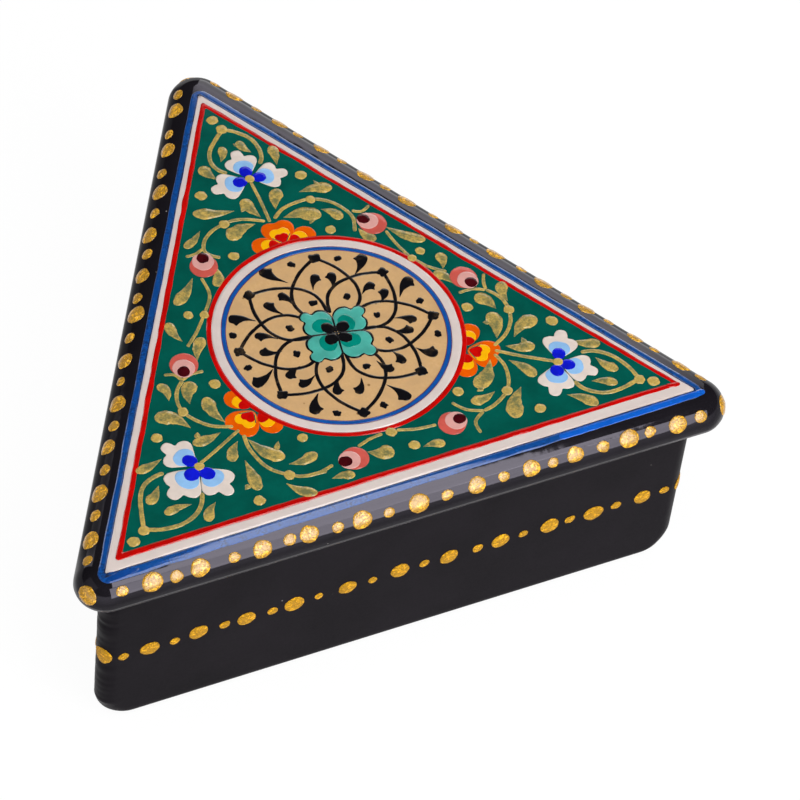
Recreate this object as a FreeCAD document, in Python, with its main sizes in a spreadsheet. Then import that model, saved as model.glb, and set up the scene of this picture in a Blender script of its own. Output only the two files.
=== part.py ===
"""Triangular lacquered papier mache box with a lift-off lid and painted, raised ornament.

Frame: origin on the table under the middle of the box, +X along the front side,
+Y towards the back corner, +Z up. All lengths are millimetres.
"""
import FreeCAD, Part
import math
import os

import Sketcher

document = FreeCAD.newDocument("TriangularBox")

# Driving dimensions: alias, value, what it is

DIMENSIONS = (
    # overall form of the lid and the base
    ("lid_side", 120.0, "side of the lid between the sharp corners that its sides would have"),
    ("lid_corner_radius", 5.0, "plan radius of the lid's three corners"),
    ("box_height", 41.0, "table to the painted face of the lid"),
    ("rim_round", 4.25, "radius of the rounded rim, from the flat face down to the widest line"),
    ("rim_straight_height", 0.45, "upright part of the rim between the rounding and the tuck"),
    ("rim_tuck", 0.3, "how far the lower edge of the rim draws in below the widest line"),
    ("rim_tuck_height", 1.0, "height over which the rim draws in"),
    ("lid_plate_thickness", 2.6, "thickness of the lid over the opening"),
    ("rim_overhang", 3.7, "wall of the base to the widest line of the lid"),
    ("lid_clearance", 0.4, "gap all round between the wall and the inside of the rim"),
    ("wall_corner_radius", 2.6, "plan radius of the base's three corners"),
    ("bottom_edge_radius", 2.0, "rounding between the wall and the underside"),
    ("wall_thickness", 3.0, "thickness of the base's wall"),
    ("floor_thickness", 3.0, "thickness of the base's floor"),
    ("inner_corner_radius", 2.2, "plan radius of the inside corners"),
    ("inner_floor_radius", 1.6, "rounding between the inside wall and the floor"),
    ("mouth_radius", 0.8, "rounding of the wall's upper edges"),
    # painted ground of the lid, laid into a shallow recess
    ("inlay_depth", 0.4, "depth of the recess that holds the painted ground"),
    ("blue_line_width", 1.4, "blue line that starts the rounded rim"),
    ("white_band_width", 2.0, "white band inside the blue line"),
    ("red_line_width", 0.8, "red line inside the white band"),
    ("ornament_shift_x", 0.8, "middle of the hand-laid ornament beside the lid's middle"),
    ("ornament_shift_y", 1.2, "middle of the hand-laid ornament behind the lid's middle"),
    ("medallion_ground_radius", 18.15, "tan field of the medallion"),
    ("medallion_blue_width", 0.5, "blue ring round the tan field"),
    ("medallion_white_width", 1.8, "white ring round the blue one"),
    ("medallion_red_width", 0.7, "red ring round the white one"),
    # raised brushwork
    ("paint_relief", 0.12, "height of the raised brushwork over the painted ground"),
    ("paint_gap", 0.25, "bare ground left between two motifs"),
    ("petal_line_width", 0.5, "black brush line of the medallion"),
    ("petal_turn_angle", -7.7, "turn of the ring of petals from the back corner, in degrees"),
    ("petal_tip_distance", 15.6, "middle of the medallion to the point of a petal"),
    ("petal_root_distance", 3.4, "middle of the medallion to the root of a petal"),
    ("petal_half_width", 5.0, "half the width of a pointed petal"),
    ("petal_knob_radius", 0.75, "round knob on the point of a petal"),
    ("tear_length", 2.6, "black teardrop between two petals"),
    ("tear_width", 1.2, "width of that teardrop"),
    ("tear_distance", 14.2, "middle of the medallion to that teardrop's root"),
    ("teal_petal_length", 5.2, "petal of the flower in the middle of the medallion"),
    ("teal_petal_width", 5.0, "width of that petal"),
    ("teal_eye_radius", 1.0, "dark eye in that petal"),
    ("teal_eye_distance", 1.9, "middle of the flower to the eye"),
    ("flower_gap", 14.95, "rim of the medallion to the middle of a corner flower"),
    ("flower_petal_length", 6.6, "petal of a corner flower"),
    ("flower_petal_width", 5.6, "width of that petal"),
    ("flower_eye_radius", 0.95, "blue heart in that petal"),
    ("flower_eye_distance", 1.9, "middle of the flower to the blue heart"),
    ("flower_spread_angle", 200.0, "angle between the outer two petals of a corner flower, in degrees"),
    ("flower_button_radius", 0.7, "gold button in the middle of a corner flower"),
    ("rosette_length", 5.2, "petal of the half rosette on the medallion's edge"),
    ("rosette_width", 5.0, "width of that petal"),
    ("rosette_spread_angle", 124.0, "angle between its outer two petals, in degrees"),
    ("bud_gap", 4.35, "rim of the medallion to the middle of a bud"),
    ("bud_angle", 38.0, "angle between a bud and its corner, seen from the middle, in degrees"),
    ("bud_radius", 2.2, "round coral bud"),
    ("bud_mouth_radius", 0.8, "dark mouth of the bud"),
    ("bud_mouth_distance", 1.25, "middle of the bud to its mouth"),
    ("vine_width", 0.6, "gold brush line of a stem"),
    ("leaf_length", 4.2, "gold leaf"),
    ("leaf_width", 1.7, "width of a leaf"),
    ("spot_radius", 0.9, "gold spot"),
    # domed gold dots on the rim and on the wall
    ("rim_dot_margin", 5.0, "sharp corner of the lid to the end of the rim's row of dots"),
    ("wall_dot_margin", 0.8, "sharp corner of the wall to the end of the wall's row of dots"),
    ("wall_dot_height", 17.4, "table to the row of dots on the wall"),
    ("rim_dot_angle", 46.0, "angle of the rim's row from straight up, in degrees"),
    ("rim_large_dot_radius", 1.35, "large dot of the rim, seen from above it"),
    ("wall_large_dot_radius", 1.6, "large dot of the wall"),
    ("small_dot_radius", 0.85, "small dot of the rim and of the wall"),
    ("large_dot_relief", 0.5, "height of a large dot over the face that carries it"),
    ("small_dot_relief", 0.35, "height of a small dot over that face"),
    ("dot_root_depth", 0.9, "how far a dot starts below the face, before the face cuts it"),
    # one length by which every cut passes the faces that it opens
    ("overrun", 1.0, "overrun of the cuts"),
)

SIDES = 3
FULL_TURN = 360
BACK_CORNER = 90
ROW_STEPS = 12
MEDALLION_PETALS = 8
TEAL_PETALS = 4
FAN_PETALS = 3

sheet = document.addObject("Spreadsheet::Sheet", "Sizes")
for row, (alias, number, note) in enumerate(DIMENSIONS, start=1):
    sheet.set("A%d" % row, alias)
    sheet.set("B%d" % row, str(number))
    sheet.set("C%d" % row, note)
    sheet.setAlias("B%d" % row, alias)
document.recompute()


class Size:
    """A length that knows its value and the spreadsheet expression that gives it."""

    def __init__(self, value, text):
        self.value = value
        self.text = text

    def __add__(self, other):
        other = as_size(other)
        return Size(self.value + other.value, "(%s + %s)" % (self.text, other.text))

    def __sub__(self, other):
        other = as_size(other)
        return Size(self.value - other.value, "(%s - %s)" % (self.text, other.text))

    def __mul__(self, other):
        other = as_size(other)
        return Size(self.value * other.value, "(%s * %s)" % (self.text, other.text))

    def __truediv__(self, other):
        other = as_size(other)
        return Size(self.value / other.value, "(%s / %s)" % (self.text, other.text))

    def __neg__(self):
        return Size(-self.value, "(0 - %s)" % self.text)


def as_size(number):
    return number if isinstance(number, Size) else Size(float(number), repr(float(number)))


def size(alias):
    return Size(float(sheet.get(alias)), "Sizes." + alias)


def sine(angle):
    return Size(math.sin(math.radians(angle.value)), "sin(%s * 1 deg)" % angle.text)


def root_of(square):
    return Size(math.sqrt(square.value), "sqrt(%s)" % square.text)


def cosine(angle):
    return Size(math.cos(math.radians(angle.value)), "cos(%s * 1 deg)" % angle.text)


NOTHING = as_size(0)
DIAGONAL_SHARE = math.sqrt(3)

# Lengths that follow from the driving dimensions

lid_apothem = size("lid_side") / (2 * DIAGONAL_SHARE)
wall_apothem = lid_apothem - size("rim_overhang")
face_level = size("box_height")
mouth_level = face_level - size("lid_plate_thickness")
rim_depth = size("rim_round") + size("rim_straight_height") + size("rim_tuck_height")
rim_bottom_level = face_level - rim_depth
inlay_level = face_level - size("inlay_depth")
flat_apothem = lid_apothem - size("rim_round")
flat_corner_radius = size("lid_corner_radius") - size("rim_round")
blue_apothem = flat_apothem + size("blue_line_width")
blue_corner_radius = flat_corner_radius + size("blue_line_width")
white_apothem = flat_apothem - size("white_band_width")
red_apothem = white_apothem - size("red_line_width")
medallion_blue_radius = size("medallion_ground_radius") + size("medallion_blue_width")
medallion_white_radius = medallion_blue_radius + size("medallion_white_width")
medallion_red_radius = medallion_white_radius + size("medallion_red_width")
flower_distance = medallion_red_radius + size("flower_gap")
bud_distance = medallion_red_radius + size("bud_gap")
rosette_root = size("paint_gap") * 2
rosette_tip_distance = medallion_red_radius + rosette_root + size("rosette_length")
rim_row_length = size("lid_side") - size("rim_dot_margin") * 2
wall_row_length = wall_apothem * (2 * DIAGONAL_SHARE) - size("wall_dot_margin") * 2
ORNAMENT_MIDDLE = (size("ornament_shift_x"), size("ornament_shift_y"))


# Small helpers for bodies, sketches and features

def bind(feature, name, length):
    feature.setExpression(name, length.text)


def new_body(label):
    body = document.addObject("PartDesign::Body", label)
    body.Label = label
    body.AllowCompound = True
    return body


def origin_feature(body, role):
    return next(item for item in body.Origin.OriginFeatures if item.Role == role)


def new_sketch(body, name, level, x=NOTHING, y=NOTHING, turn=NOTHING):
    """A sketch on the body's XY plane, lifted to a level, moved and turned about Z."""
    sketch = body.newObject("Sketcher::SketchObject", name)
    sketch.AttachmentSupport = [(origin_feature(body, "XY_Plane"), "")]
    sketch.MapMode = "FlatFace"
    bind(sketch, "AttachmentOffset.Base.x", x)
    bind(sketch, "AttachmentOffset.Base.y", y)
    bind(sketch, "AttachmentOffset.Base.z", level)
    bind(sketch, "AttachmentOffset.Rotation.Angle", turn)
    return sketch


def constrain(sketch, length, kind, *where):
    """A dimension of the sketch, bound to the spreadsheet."""
    index = sketch.addConstraint(Sketcher.Constraint(kind, *where, length.value))
    sketch.setExpression("Constraints[%d]" % index, length.text)


def add_triangle(sketch, apothem, corner_radius=None):
    """A triangle about the origin, one side to the front, with sharp or round corners."""
    first = sketch.GeometryCount
    corner_distance = 2 * apothem.value
    rounding = corner_radius.value if corner_radius else 0.0
    trim = rounding * DIAGONAL_SHARE
    corners = []
    for side in range(SIDES):
        angle = math.radians(-150 + 120 * side)
        corners.append(FreeCAD.Vector(math.cos(angle), math.sin(angle), 0) * corner_distance)
    for side in range(SIDES):
        start, end = corners[side], corners[(side + 1) % SIDES]
        along = (end - start).normalize() * trim
        sketch.addGeometry(Part.LineSegment(start + along, end - along), False)
    if corner_radius:
        for side in range(SIDES):
            middle = corners[(side + 1) % SIDES] * (1 - 2 * rounding / corner_distance)
            turn = math.radians(-90 + 120 * side)
            circle = Part.Circle(middle, FreeCAD.Vector(0, 0, 1), rounding)
            sketch.addGeometry(Part.ArcOfCircle(circle, turn, turn + 2 * math.pi / SIDES), False)
    for side in range(SIDES):
        here, following = first + side, first + (side + 1) % SIDES
        if corner_radius:
            arc = first + SIDES + side
            sketch.addConstraint(Sketcher.Constraint("Tangent", here, 2, arc, 1))
            sketch.addConstraint(Sketcher.Constraint("Tangent", arc, 2, following, 1))
        else:
            sketch.addConstraint(Sketcher.Constraint("Coincident", here, 2, following, 1))
    sketch.addConstraint(Sketcher.Constraint("Horizontal", first))
    sketch.addConstraint(Sketcher.Constraint("Equal", first, first + 1))
    sketch.addConstraint(Sketcher.Constraint("Equal", first, first + 2))
    for side in range(SIDES):
        constrain(sketch, apothem, "Distance", -1, 1, first + side)
    if corner_radius:
        sketch.addConstraint(Sketcher.Constraint("Equal", first + SIDES, first + SIDES + 1))
        sketch.addConstraint(Sketcher.Constraint("Equal", first + SIDES, first + SIDES + 2))
        constrain(sketch, corner_radius, "Radius", first + SIDES)


def add_circle(sketch, radius, x=NOTHING, y=NOTHING):
    middle = FreeCAD.Vector(x.value, y.value, 0)
    index = sketch.addGeometry(Part.Circle(middle, FreeCAD.Vector(0, 0, 1), radius.value), False)
    constrain(sketch, radius, "Radius", index)
    constrain(sketch, x, "DistanceX", -1, 1, index, 3)
    constrain(sketch, y, "DistanceY", -1, 1, index, 3)


def arc_radius(chord, rise):
    """The radius of an arc that rises so far over the middle of its chord."""
    return (chord * chord / 4 + rise * rise) / (rise * 2)


def add_outline(sketch, length, width, corner_shares, bulge_shares, root=NOTHING):
    """A closed outline of arcs. Its corners are shares of the length and the width, and each
    arc rises over its own chord by a share of that chord."""
    first = sketch.GeometryCount
    count = len(corner_shares)
    points = [(root + length * forth, width * across) for forth, across in corner_shares]
    for index, share in enumerate(bulge_shares):
        here, after = points[index], points[(index + 1) % count]
        start = FreeCAD.Vector(here[0].value, here[1].value, 0)
        end = FreeCAD.Vector(after[0].value, after[1].value, 0)
        outward = (end - start).cross(FreeCAD.Vector(0, 0, 1)) * share
        sketch.addGeometry(Part.Arc(start, (start + end) * 0.5 + outward, end), False)
    for index, share in enumerate(bulge_shares):
        arc = first + index
        following = first + (index + 1) % count
        here, after = points[index], points[(index + 1) % count]
        chord = root_of((after[0] - here[0]) * (after[0] - here[0])
                        + (after[1] - here[1]) * (after[1] - here[1]))
        sketch.addConstraint(Sketcher.Constraint("Coincident", arc, 2, following, 1))
        constrain(sketch, arc_radius(chord, chord * share), "Radius", arc)
        constrain(sketch, here[0], "DistanceX", -1, 1, arc, 1)
        constrain(sketch, here[1], "DistanceY", -1, 1, arc, 1)


def pad(body, sketch, height):
    feature = body.newObject("PartDesign::Pad", sketch.Name + "Pad")
    feature.Profile = sketch
    bind(feature, "Length", height)
    sketch.Visibility = False
    return feature


def pocket(body, sketch, depth):
    """Cut down from the sketch, and make sure that material was taken away."""
    document.recompute()
    before = body.Shape.Volume
    feature = body.newObject("PartDesign::Pocket", sketch.Name + "Pocket")
    feature.Profile = sketch
    bind(feature, "Length", depth)
    document.recompute()
    if body.Shape.Volume >= before:
        raise RuntimeError(sketch.Name + " cuts nothing")
    return feature


def fillet(body, radius, chosen):
    """Round the edges of the body's tip that the test chooses."""
    document.recompute()
    tip = body.Tip
    names = ["Edge%d" % number for number, edge in enumerate(tip.Shape.Edges, start=1) if chosen(edge)]
    feature = body.newObject("PartDesign::Fillet", tip.Name + "Fillet")
    feature.Base = (tip, names)
    bind(feature, "Radius", radius)
    document.recompute()
    return feature


def lies_at(level):
    """A test for edges that lie in the plane at a level."""
    def chosen(edge):
        box = edge.BoundBox
        return max(abs(box.ZMin - level.value), abs(box.ZMax - level.value)) < 1e-6
    return chosen


def repeat(body, features, *patterns):
    """Repeat the features by polar, linear or mirrored patterns, one after the other."""
    multi = body.newObject("PartDesign::MultiTransform", features[-1].Name + "Repeat")
    multi.Originals = features
    steps = []
    for kind, settings in patterns:
        step = body.newObject("PartDesign::" + kind, multi.Name + kind)
        for name, value in settings.items():
            if isinstance(value, Size):
                bind(step, name, value)
            else:
                setattr(step, name, value)
        steps.append(step)
    multi.Transformations = steps
    body.Tip = multi
    return multi


def round_box(body):
    """The pattern that sets a feature on each of the box's three sides or corners."""
    axis = origin_feature(body, "Z_Axis")
    return ("PolarPattern", {"Axis": (axis, [""]), "Angle": float(FULL_TURN), "Occurrences": SIDES})


def about(sketch, angle, occurrences):
    """The pattern that turns a feature about the middle of a sketch."""
    return ("PolarPattern", {"Axis": (sketch, ["N_Axis"]), "Angle": as_size(angle),
                             "Occurrences": occurrences})


def mirrored(sketch):
    """The pattern that mirrors a feature to the other side of a sketch's upright axis."""
    return ("Mirrored", {"MirrorPlane": (sketch, ["V_Axis"])})


def boolean(kind, label, base, tool):
    feature = document.addObject("Part::" + kind, label)
    feature.Label = label
    feature.Base = base
    feature.Tool = tool
    return feature


# Base: a moulded tray with rounded corners, bottom edge, mouth and inside

def make_base_blank():
    """The outside of the tray, closed."""
    body = new_body("base_blank")
    outline = new_sketch(body, "BaseOutline", NOTHING)
    add_triangle(outline, wall_apothem, size("wall_corner_radius"))
    pad(body, outline, mouth_level)
    fillet(body, size("bottom_edge_radius"), lies_at(NOTHING))
    return body


def make_base_shell():
    body = new_body("base_shell")
    outline = new_sketch(body, "TrayOutline", NOTHING)
    add_triangle(outline, wall_apothem, size("wall_corner_radius"))
    pad(body, outline, mouth_level)
    fillet(body, size("bottom_edge_radius"), lies_at(NOTHING))
    cavity = new_sketch(body, "TrayCavity", mouth_level)
    add_triangle(cavity, wall_apothem - size("wall_thickness"), size("inner_corner_radius"))
    pocket(body, cavity, mouth_level - size("floor_thickness"))
    fillet(body, size("inner_floor_radius"), lies_at(size("floor_thickness")))
    fillet(body, size("mouth_radius"), lies_at(mouth_level))
    return body


# Lid: a cap with a rounded rim that draws in to a sharp lower edge

def make_lid_blank():
    """The outside of the lid, closed and without its painted ground."""
    body = new_body("lid_blank")
    outline = new_sketch(body, "LidOutline", rim_bottom_level)
    add_triangle(outline, lid_apothem, size("lid_corner_radius"))
    pad(body, outline, rim_depth)
    fillet(body, size("rim_round"), lies_at(face_level))
    rounded = body.Tip
    lower_edge = next("Edge%d" % number for number, edge in enumerate(rounded.Shape.Edges, start=1)
                      if lies_at(rim_bottom_level)(edge))
    tuck = body.newObject("PartDesign::Chamfer", "RimTuck")
    tuck.Base = (rounded, [lower_edge])
    tuck.ChamferType = "Two distances"
    tuck.FlipDirection = True
    bind(tuck, "Size", size("rim_tuck"))
    bind(tuck, "Size2", size("rim_tuck_height"))
    document.recompute()
    underside = min(tuck.Shape.Faces, key=lambda face: face.BoundBox.ZMax)
    if abs(underside.BoundBox.YMin + lid_apothem.value - size("rim_tuck").value) > 1e-3:
        raise RuntimeError("the rim draws in the wrong way")
    return body


def prism(label, bottom, height, *loops):
    """An upright body whose sketch holds the given triangles and circles."""
    body = new_body(label)
    sketch = new_sketch(body, label + "_outline", bottom)
    for add, arguments in loops:
        add(sketch, *arguments)
    pad(body, sketch, height)
    return body


def make_lid_shell(lid_blank):
    """The lid cut hollow from below for the wall, and cut shallow above for the ground."""
    hollow = prism(
        "lid_hollow", rim_bottom_level - size("overrun"),
        rim_depth - size("lid_plate_thickness") + size("overrun"),
        (add_triangle, (wall_apothem + size("lid_clearance"),
                        size("wall_corner_radius") + size("lid_clearance"))))
    recess = prism(
        "ground_recess", inlay_level, size("inlay_depth") + size("overrun"),
        (add_triangle, (blue_apothem, blue_corner_radius)))
    cap = boolean("Cut", "lid_cap", lid_blank, hollow)
    return boolean("Cut", "lid_shell", cap, recess)


# Painted ground of the lid, tiled edge to edge in its recess

def make_blue_line(lid_blank):
    """The line follows the start of the rounded rim, so the lid's outside cuts it."""
    ring = prism(
        "blue_ring", inlay_level, size("inlay_depth") + size("overrun"),
        (add_triangle, (blue_apothem, blue_corner_radius)),
        (add_triangle, (flat_apothem, flat_corner_radius)))
    return boolean("Common", "border_blue_line", lid_blank, ring)


def make_border_and_field():
    depth = size("inlay_depth")
    return [
        prism("border_white_band", inlay_level, depth,
              (add_triangle, (flat_apothem, flat_corner_radius)), (add_triangle, (white_apothem,))),
        prism("border_red_line", inlay_level, depth,
              (add_triangle, (white_apothem,)), (add_triangle, (red_apothem,))),
        prism("green_field", inlay_level, depth,
              (add_triangle, (red_apothem,)), (add_circle, (medallion_red_radius, *ORNAMENT_MIDDLE))),
    ]


def make_medallion_ground():
    depth = size("inlay_depth")
    rings = (
        ("medallion_red_ring", medallion_red_radius, medallion_white_radius),
        ("medallion_white_ring", medallion_white_radius, medallion_blue_radius),
        ("medallion_blue_ring", medallion_blue_radius, size("medallion_ground_radius")),
    )
    made = []
    for label, outer, inner in rings:
        made.append(prism(label, inlay_level, depth, (add_circle, (outer, *ORNAMENT_MIDDLE)),
                          (add_circle, (inner, *ORNAMENT_MIDDLE))))
    made.append(prism("medallion_tan_ground", inlay_level, depth,
                      (add_circle, (size("medallion_ground_radius"), *ORNAMENT_MIDDLE))))
    return made


# Raised brushwork: corners as shares of a motif's length and width, bulges as shares of a chord

LOBED_PETAL_CORNER_SHARES = ((0, 0), (0.55, -0.5), (0.80, -0.26), (0.80, 0.26), (0.55, 0.5))
LOBED_PETAL_BULGE_SHARES = (0.16, 0.36, 0.36, 0.36, 0.16)
ROUND_PETAL_CORNER_SHARES = ((0, 0), (0.62, -0.5), (0.62, 0.5))
ROUND_PETAL_BULGE_SHARES = (0.14, 0.38, 0.14)
DROP_CORNER_SHARES = ((0, 0), (0.7, -0.5), (0.7, 0.5))
DROP_BULGE_SHARES = (0.08, 0.42, 0.08)

# Places in the back corner's left half. Each starts with its turn from the corner's direction in
# degrees, seen from the ornament's middle, and its share of the way from the medallion's rim to
# the middle of the corner's flower

STEM_SHARES = (
    # turn of the place, share of the way, turn of the stroke, its length, its bow to the right
    (5.0, 0.398, 160, 0.338, 0.029),
    (18.3, 0.574, 224, 0.362, -0.068),
    (6.5, 1.271, 68, 0.567, -0.085),
    (42.9, 0.118, 244, 0.362, -0.060),
)
LEAF_SHARES = (
    # turn of the place, share of the way, turn of the leaf, its length against the common one
    (3.9, 0.522, 104, 0.95),
    (9.8, 0.712, 168, 1.20),
    (12.3, 0.290, 172, 1.00),
    (24.1, 0.623, 218, 0.80),
    (9.5, 1.352, 276, 0.60),
    (2.1, 1.594, 240, 0.65),
    (44.7, 0.284, 236, 0.90),
)
SPOT_SHARES = (
    (14.2, 0.989),
    (23.8, 0.169),
    (53.4, 0.090),
)
STEM_KNOT_SHARES = (
    (16.0, 0.600),
)
LONE_SPOT_SHARE = 1.978
LOOP_TIP_SHARE = 1.809


def add_stroke(sketch, length, bow, width):
    """A brush stroke along X: two arcs that meet in a point at each end."""
    rises = (bow + width / 2, bow - width / 2)
    ends = (FreeCAD.Vector(0, 0, 0), FreeCAD.Vector(length.value, 0, 0))
    arcs = []
    for rise in rises:
        radius = arc_radius(length, rise)
        middle = FreeCAD.Vector(length.value / 2, -rise.value, 0)
        index = sketch.addGeometry(Part.Arc(ends[0], middle, ends[1]), False)
        arcs.append((index, radius, rise.value > 0))
    for index, radius, forward in arcs:
        constrain(sketch, radius if forward else -radius, "Radius", index)
        constrain(sketch, NOTHING, "DistanceX", -1, 1, index, 1 if forward else 2)
        constrain(sketch, NOTHING, "DistanceY", -1, 1, index, 1 if forward else 2)
        constrain(sketch, length, "DistanceX", -1, 1, index, 2 if forward else 1)
        constrain(sketch, NOTHING, "DistanceY", -1, 1, index, 2 if forward else 1)


def brush(body, name, place, turn, add, *arguments):
    """Raised paint on the ground: a sketch at a place, turned, padded to the relief."""
    sketch = new_sketch(body, name, face_level, place[0], place[1], turn)
    add(sketch, *arguments)
    return pad(body, sketch, size("paint_relief"))


def at_turn(turn, distance):
    """A place at a turn from the back corner's direction, as far from the ornament's middle."""
    return (ORNAMENT_MIDDLE[0] - distance * sine(as_size(turn)),
            ORNAMENT_MIDDLE[1] + distance * cosine(as_size(turn)))


def on_the_way(turn, share):
    """A place at a turn, at a share of the way from the medallion's rim to the flower."""
    return at_turn(turn, medallion_red_radius + size("flower_gap") * share)


def middle_sketch(body):
    """An empty sketch in the ornament's middle, whose axes the patterns use."""
    return new_sketch(body, body.Label + "_middle", face_level, *ORNAMENT_MIDDLE)


def add_petal_line(sketch):
    """A pointed oval of even line width: an outer and an inner pair of arcs."""
    line = size("petal_line_width")
    for inset in (NOTHING, line):
        low = size("petal_root_distance") + inset
        high = size("petal_tip_distance") - inset
        rise = size("petal_half_width") - inset
        reach = high - low
        radius = arc_radius(reach, rise)
        first = sketch.GeometryCount
        ends = (FreeCAD.Vector(low.value, 0, 0), FreeCAD.Vector(high.value, 0, 0))
        for way in (-1, 1):
            crown = FreeCAD.Vector((low.value + high.value) / 2, way * rise.value, 0)
            sketch.addGeometry(Part.Arc(ends[0], crown, ends[1]), False)
        for index, start, end in ((first, 1, 2), (first + 1, 2, 1)):
            constrain(sketch, radius, "Radius", index)
            constrain(sketch, low, "DistanceX", -1, 1, index, start)
            constrain(sketch, NOTHING, "DistanceY", -1, 1, index, start)
            constrain(sketch, high, "DistanceX", -1, 1, index, end)
            constrain(sketch, NOTHING, "DistanceY", -1, 1, index, end)


def make_petal_lines(flower):
    """Eight pointed petals as overlapping outlines with a knob on each point, round the flower."""
    body = new_body("petal_lines_whole")
    middle = middle_sketch(body)
    turn = as_size(BACK_CORNER) + size("petal_turn_angle")
    petal = brush(body, "PetalLine", ORNAMENT_MIDDLE, turn, add_petal_line)
    knob = brush(body, "PetalKnob", ORNAMENT_MIDDLE, turn, add_circle,
                 size("petal_knob_radius"), size("petal_tip_distance"))
    repeat(body, [petal, knob], about(middle, FULL_TURN, MEDALLION_PETALS))
    return boolean("Cut", "medallion_petal_lines", body, flower)


def make_medallion_tears():
    """A teardrop between the points of every two petals."""
    body = new_body("medallion_teardrops")
    middle = middle_sketch(body)
    turn = as_size(BACK_CORNER + FULL_TURN / MEDALLION_PETALS / 2) + size("petal_turn_angle")
    tear = brush(body, "Tear", ORNAMENT_MIDDLE, turn, add_outline, size("tear_length"),
                 size("tear_width"), DROP_CORNER_SHARES, DROP_BULGE_SHARES, size("tear_distance"))
    repeat(body, [tear], about(middle, FULL_TURN, MEDALLION_PETALS))
    return body


def make_teal_flower():
    """Four lobed petals, each with a dark eye let into it."""
    gap = size("paint_gap")
    eye = (size("teal_eye_radius"), gap + size("teal_eye_distance"))

    def add_petal(sketch):
        add_outline(sketch, size("teal_petal_length"), size("teal_petal_width"),
                    LOBED_PETAL_CORNER_SHARES, LOBED_PETAL_BULGE_SHARES, gap)
        add_circle(sketch, *eye)

    def add_eye(sketch):
        add_circle(sketch, *eye)

    made = []
    for label, add in (("medallion_flower", add_petal), ("medallion_flower_eyes", add_eye)):
        body = new_body(label)
        middle = middle_sketch(body)
        petal = brush(body, label + "_outline", ORNAMENT_MIDDLE, as_size(BACK_CORNER / 2), add)
        repeat(body, [petal], about(middle, FULL_TURN, TEAL_PETALS))
        made.append(body)
    return made


def make_corner_flowers():
    """A fan of three lobed white petals in each corner, with blue hearts and a gold button."""
    root = size("flower_button_radius") + size("paint_gap")
    heart = (size("flower_eye_radius"), root + size("flower_eye_distance"))
    spread = size("flower_spread_angle")
    first_turn = as_size(BACK_CORNER) - spread / 2

    def add_petal(sketch):
        add_outline(sketch, size("flower_petal_length"), size("flower_petal_width"),
                    LOBED_PETAL_CORNER_SHARES, LOBED_PETAL_BULGE_SHARES, root)
        add_circle(sketch, *heart)

    def add_heart(sketch):
        add_circle(sketch, *heart)

    made = []
    for label, add in (("corner_flower_petals", add_petal), ("corner_flower_hearts", add_heart)):
        body = new_body(label)
        petal = brush(body, label + "_outline", at_turn(0, flower_distance), first_turn, add)
        repeat(body, [petal], about(petal.Profile[0], spread, FAN_PETALS),
               about(middle_sketch(body), FULL_TURN, SIDES))
        made.append(body)
    buttons = new_body("corner_flower_buttons")
    button = brush(buttons, "Button", at_turn(0, flower_distance), NOTHING, add_circle,
                   size("flower_button_radius"))
    repeat(buttons, [button], about(middle_sketch(buttons), FULL_TURN, SIDES))
    return made + [buttons]


def make_rosettes():
    """A half rosette of three round petals on the medallion's edge, under each corner flower."""
    body = new_body("rim_rosettes")
    place = (ORNAMENT_MIDDLE[0], ORNAMENT_MIDDLE[1] + medallion_red_radius)
    spread = size("rosette_spread_angle")
    petal = brush(body, "RosettePetal", place, as_size(BACK_CORNER) - spread / 2, add_outline,
                  size("rosette_length"), size("rosette_width"), ROUND_PETAL_CORNER_SHARES,
                  ROUND_PETAL_BULGE_SHARES, rosette_root)
    repeat(body, [petal], about(petal.Profile[0], spread, FAN_PETALS),
           about(middle_sketch(body), FULL_TURN, SIDES))
    return body


def make_buds():
    """A coral bud on each side of every corner, its dark mouth turned to the corner."""
    forth = bud_distance * cosine(size("bud_angle"))
    across = bud_distance * sine(size("bud_angle"))
    mouth = (size("bud_mouth_radius"), forth + size("bud_mouth_distance"), across)

    def add_bud(sketch):
        add_circle(sketch, size("bud_radius"), forth, across)
        add_circle(sketch, *mouth)

    def add_mouth(sketch):
        add_circle(sketch, *mouth)

    made = []
    for label, add in (("rose_buds", add_bud), ("rose_bud_mouths", add_mouth)):
        body = new_body(label)
        middle = middle_sketch(body)
        bud = brush(body, label + "_outline", ORNAMENT_MIDDLE, as_size(BACK_CORNER), add)
        repeat(body, [bud], mirrored(middle), about(middle, FULL_TURN, SIDES))
        made.append(body)
    return made


def make_gold_stems():
    """Curved stems with their knots, the straight stem and the loop round each corner flower."""
    body = new_body("gold_stems")
    middle = middle_sketch(body)
    reach = size("flower_gap")
    strokes = []
    for number, (place_turn, share, turn, length_share, bow_share) in enumerate(STEM_SHARES):
        strokes.append(brush(body, "Stem%d" % number, on_the_way(place_turn, share), as_size(turn),
                             add_stroke, reach * length_share, reach * bow_share, size("vine_width")))
    for number, shares in enumerate(STEM_KNOT_SHARES):
        strokes.append(brush(body, "Knot%d" % number, on_the_way(*shares), NOTHING, add_circle,
                             size("vine_width")))
    repeat(body, strokes, mirrored(middle), about(middle, FULL_TURN, SIDES))
    start = rosette_tip_distance + size("paint_gap") * 2
    end = flower_distance - size("flower_button_radius") * 2
    straight = brush(body, "CentreStem", at_turn(0, start), as_size(BACK_CORNER), add_stroke,
                     end - start, NOTHING, size("vine_width"))
    repeat(body, [straight], about(middle, FULL_TURN, SIDES))
    return body


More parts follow.
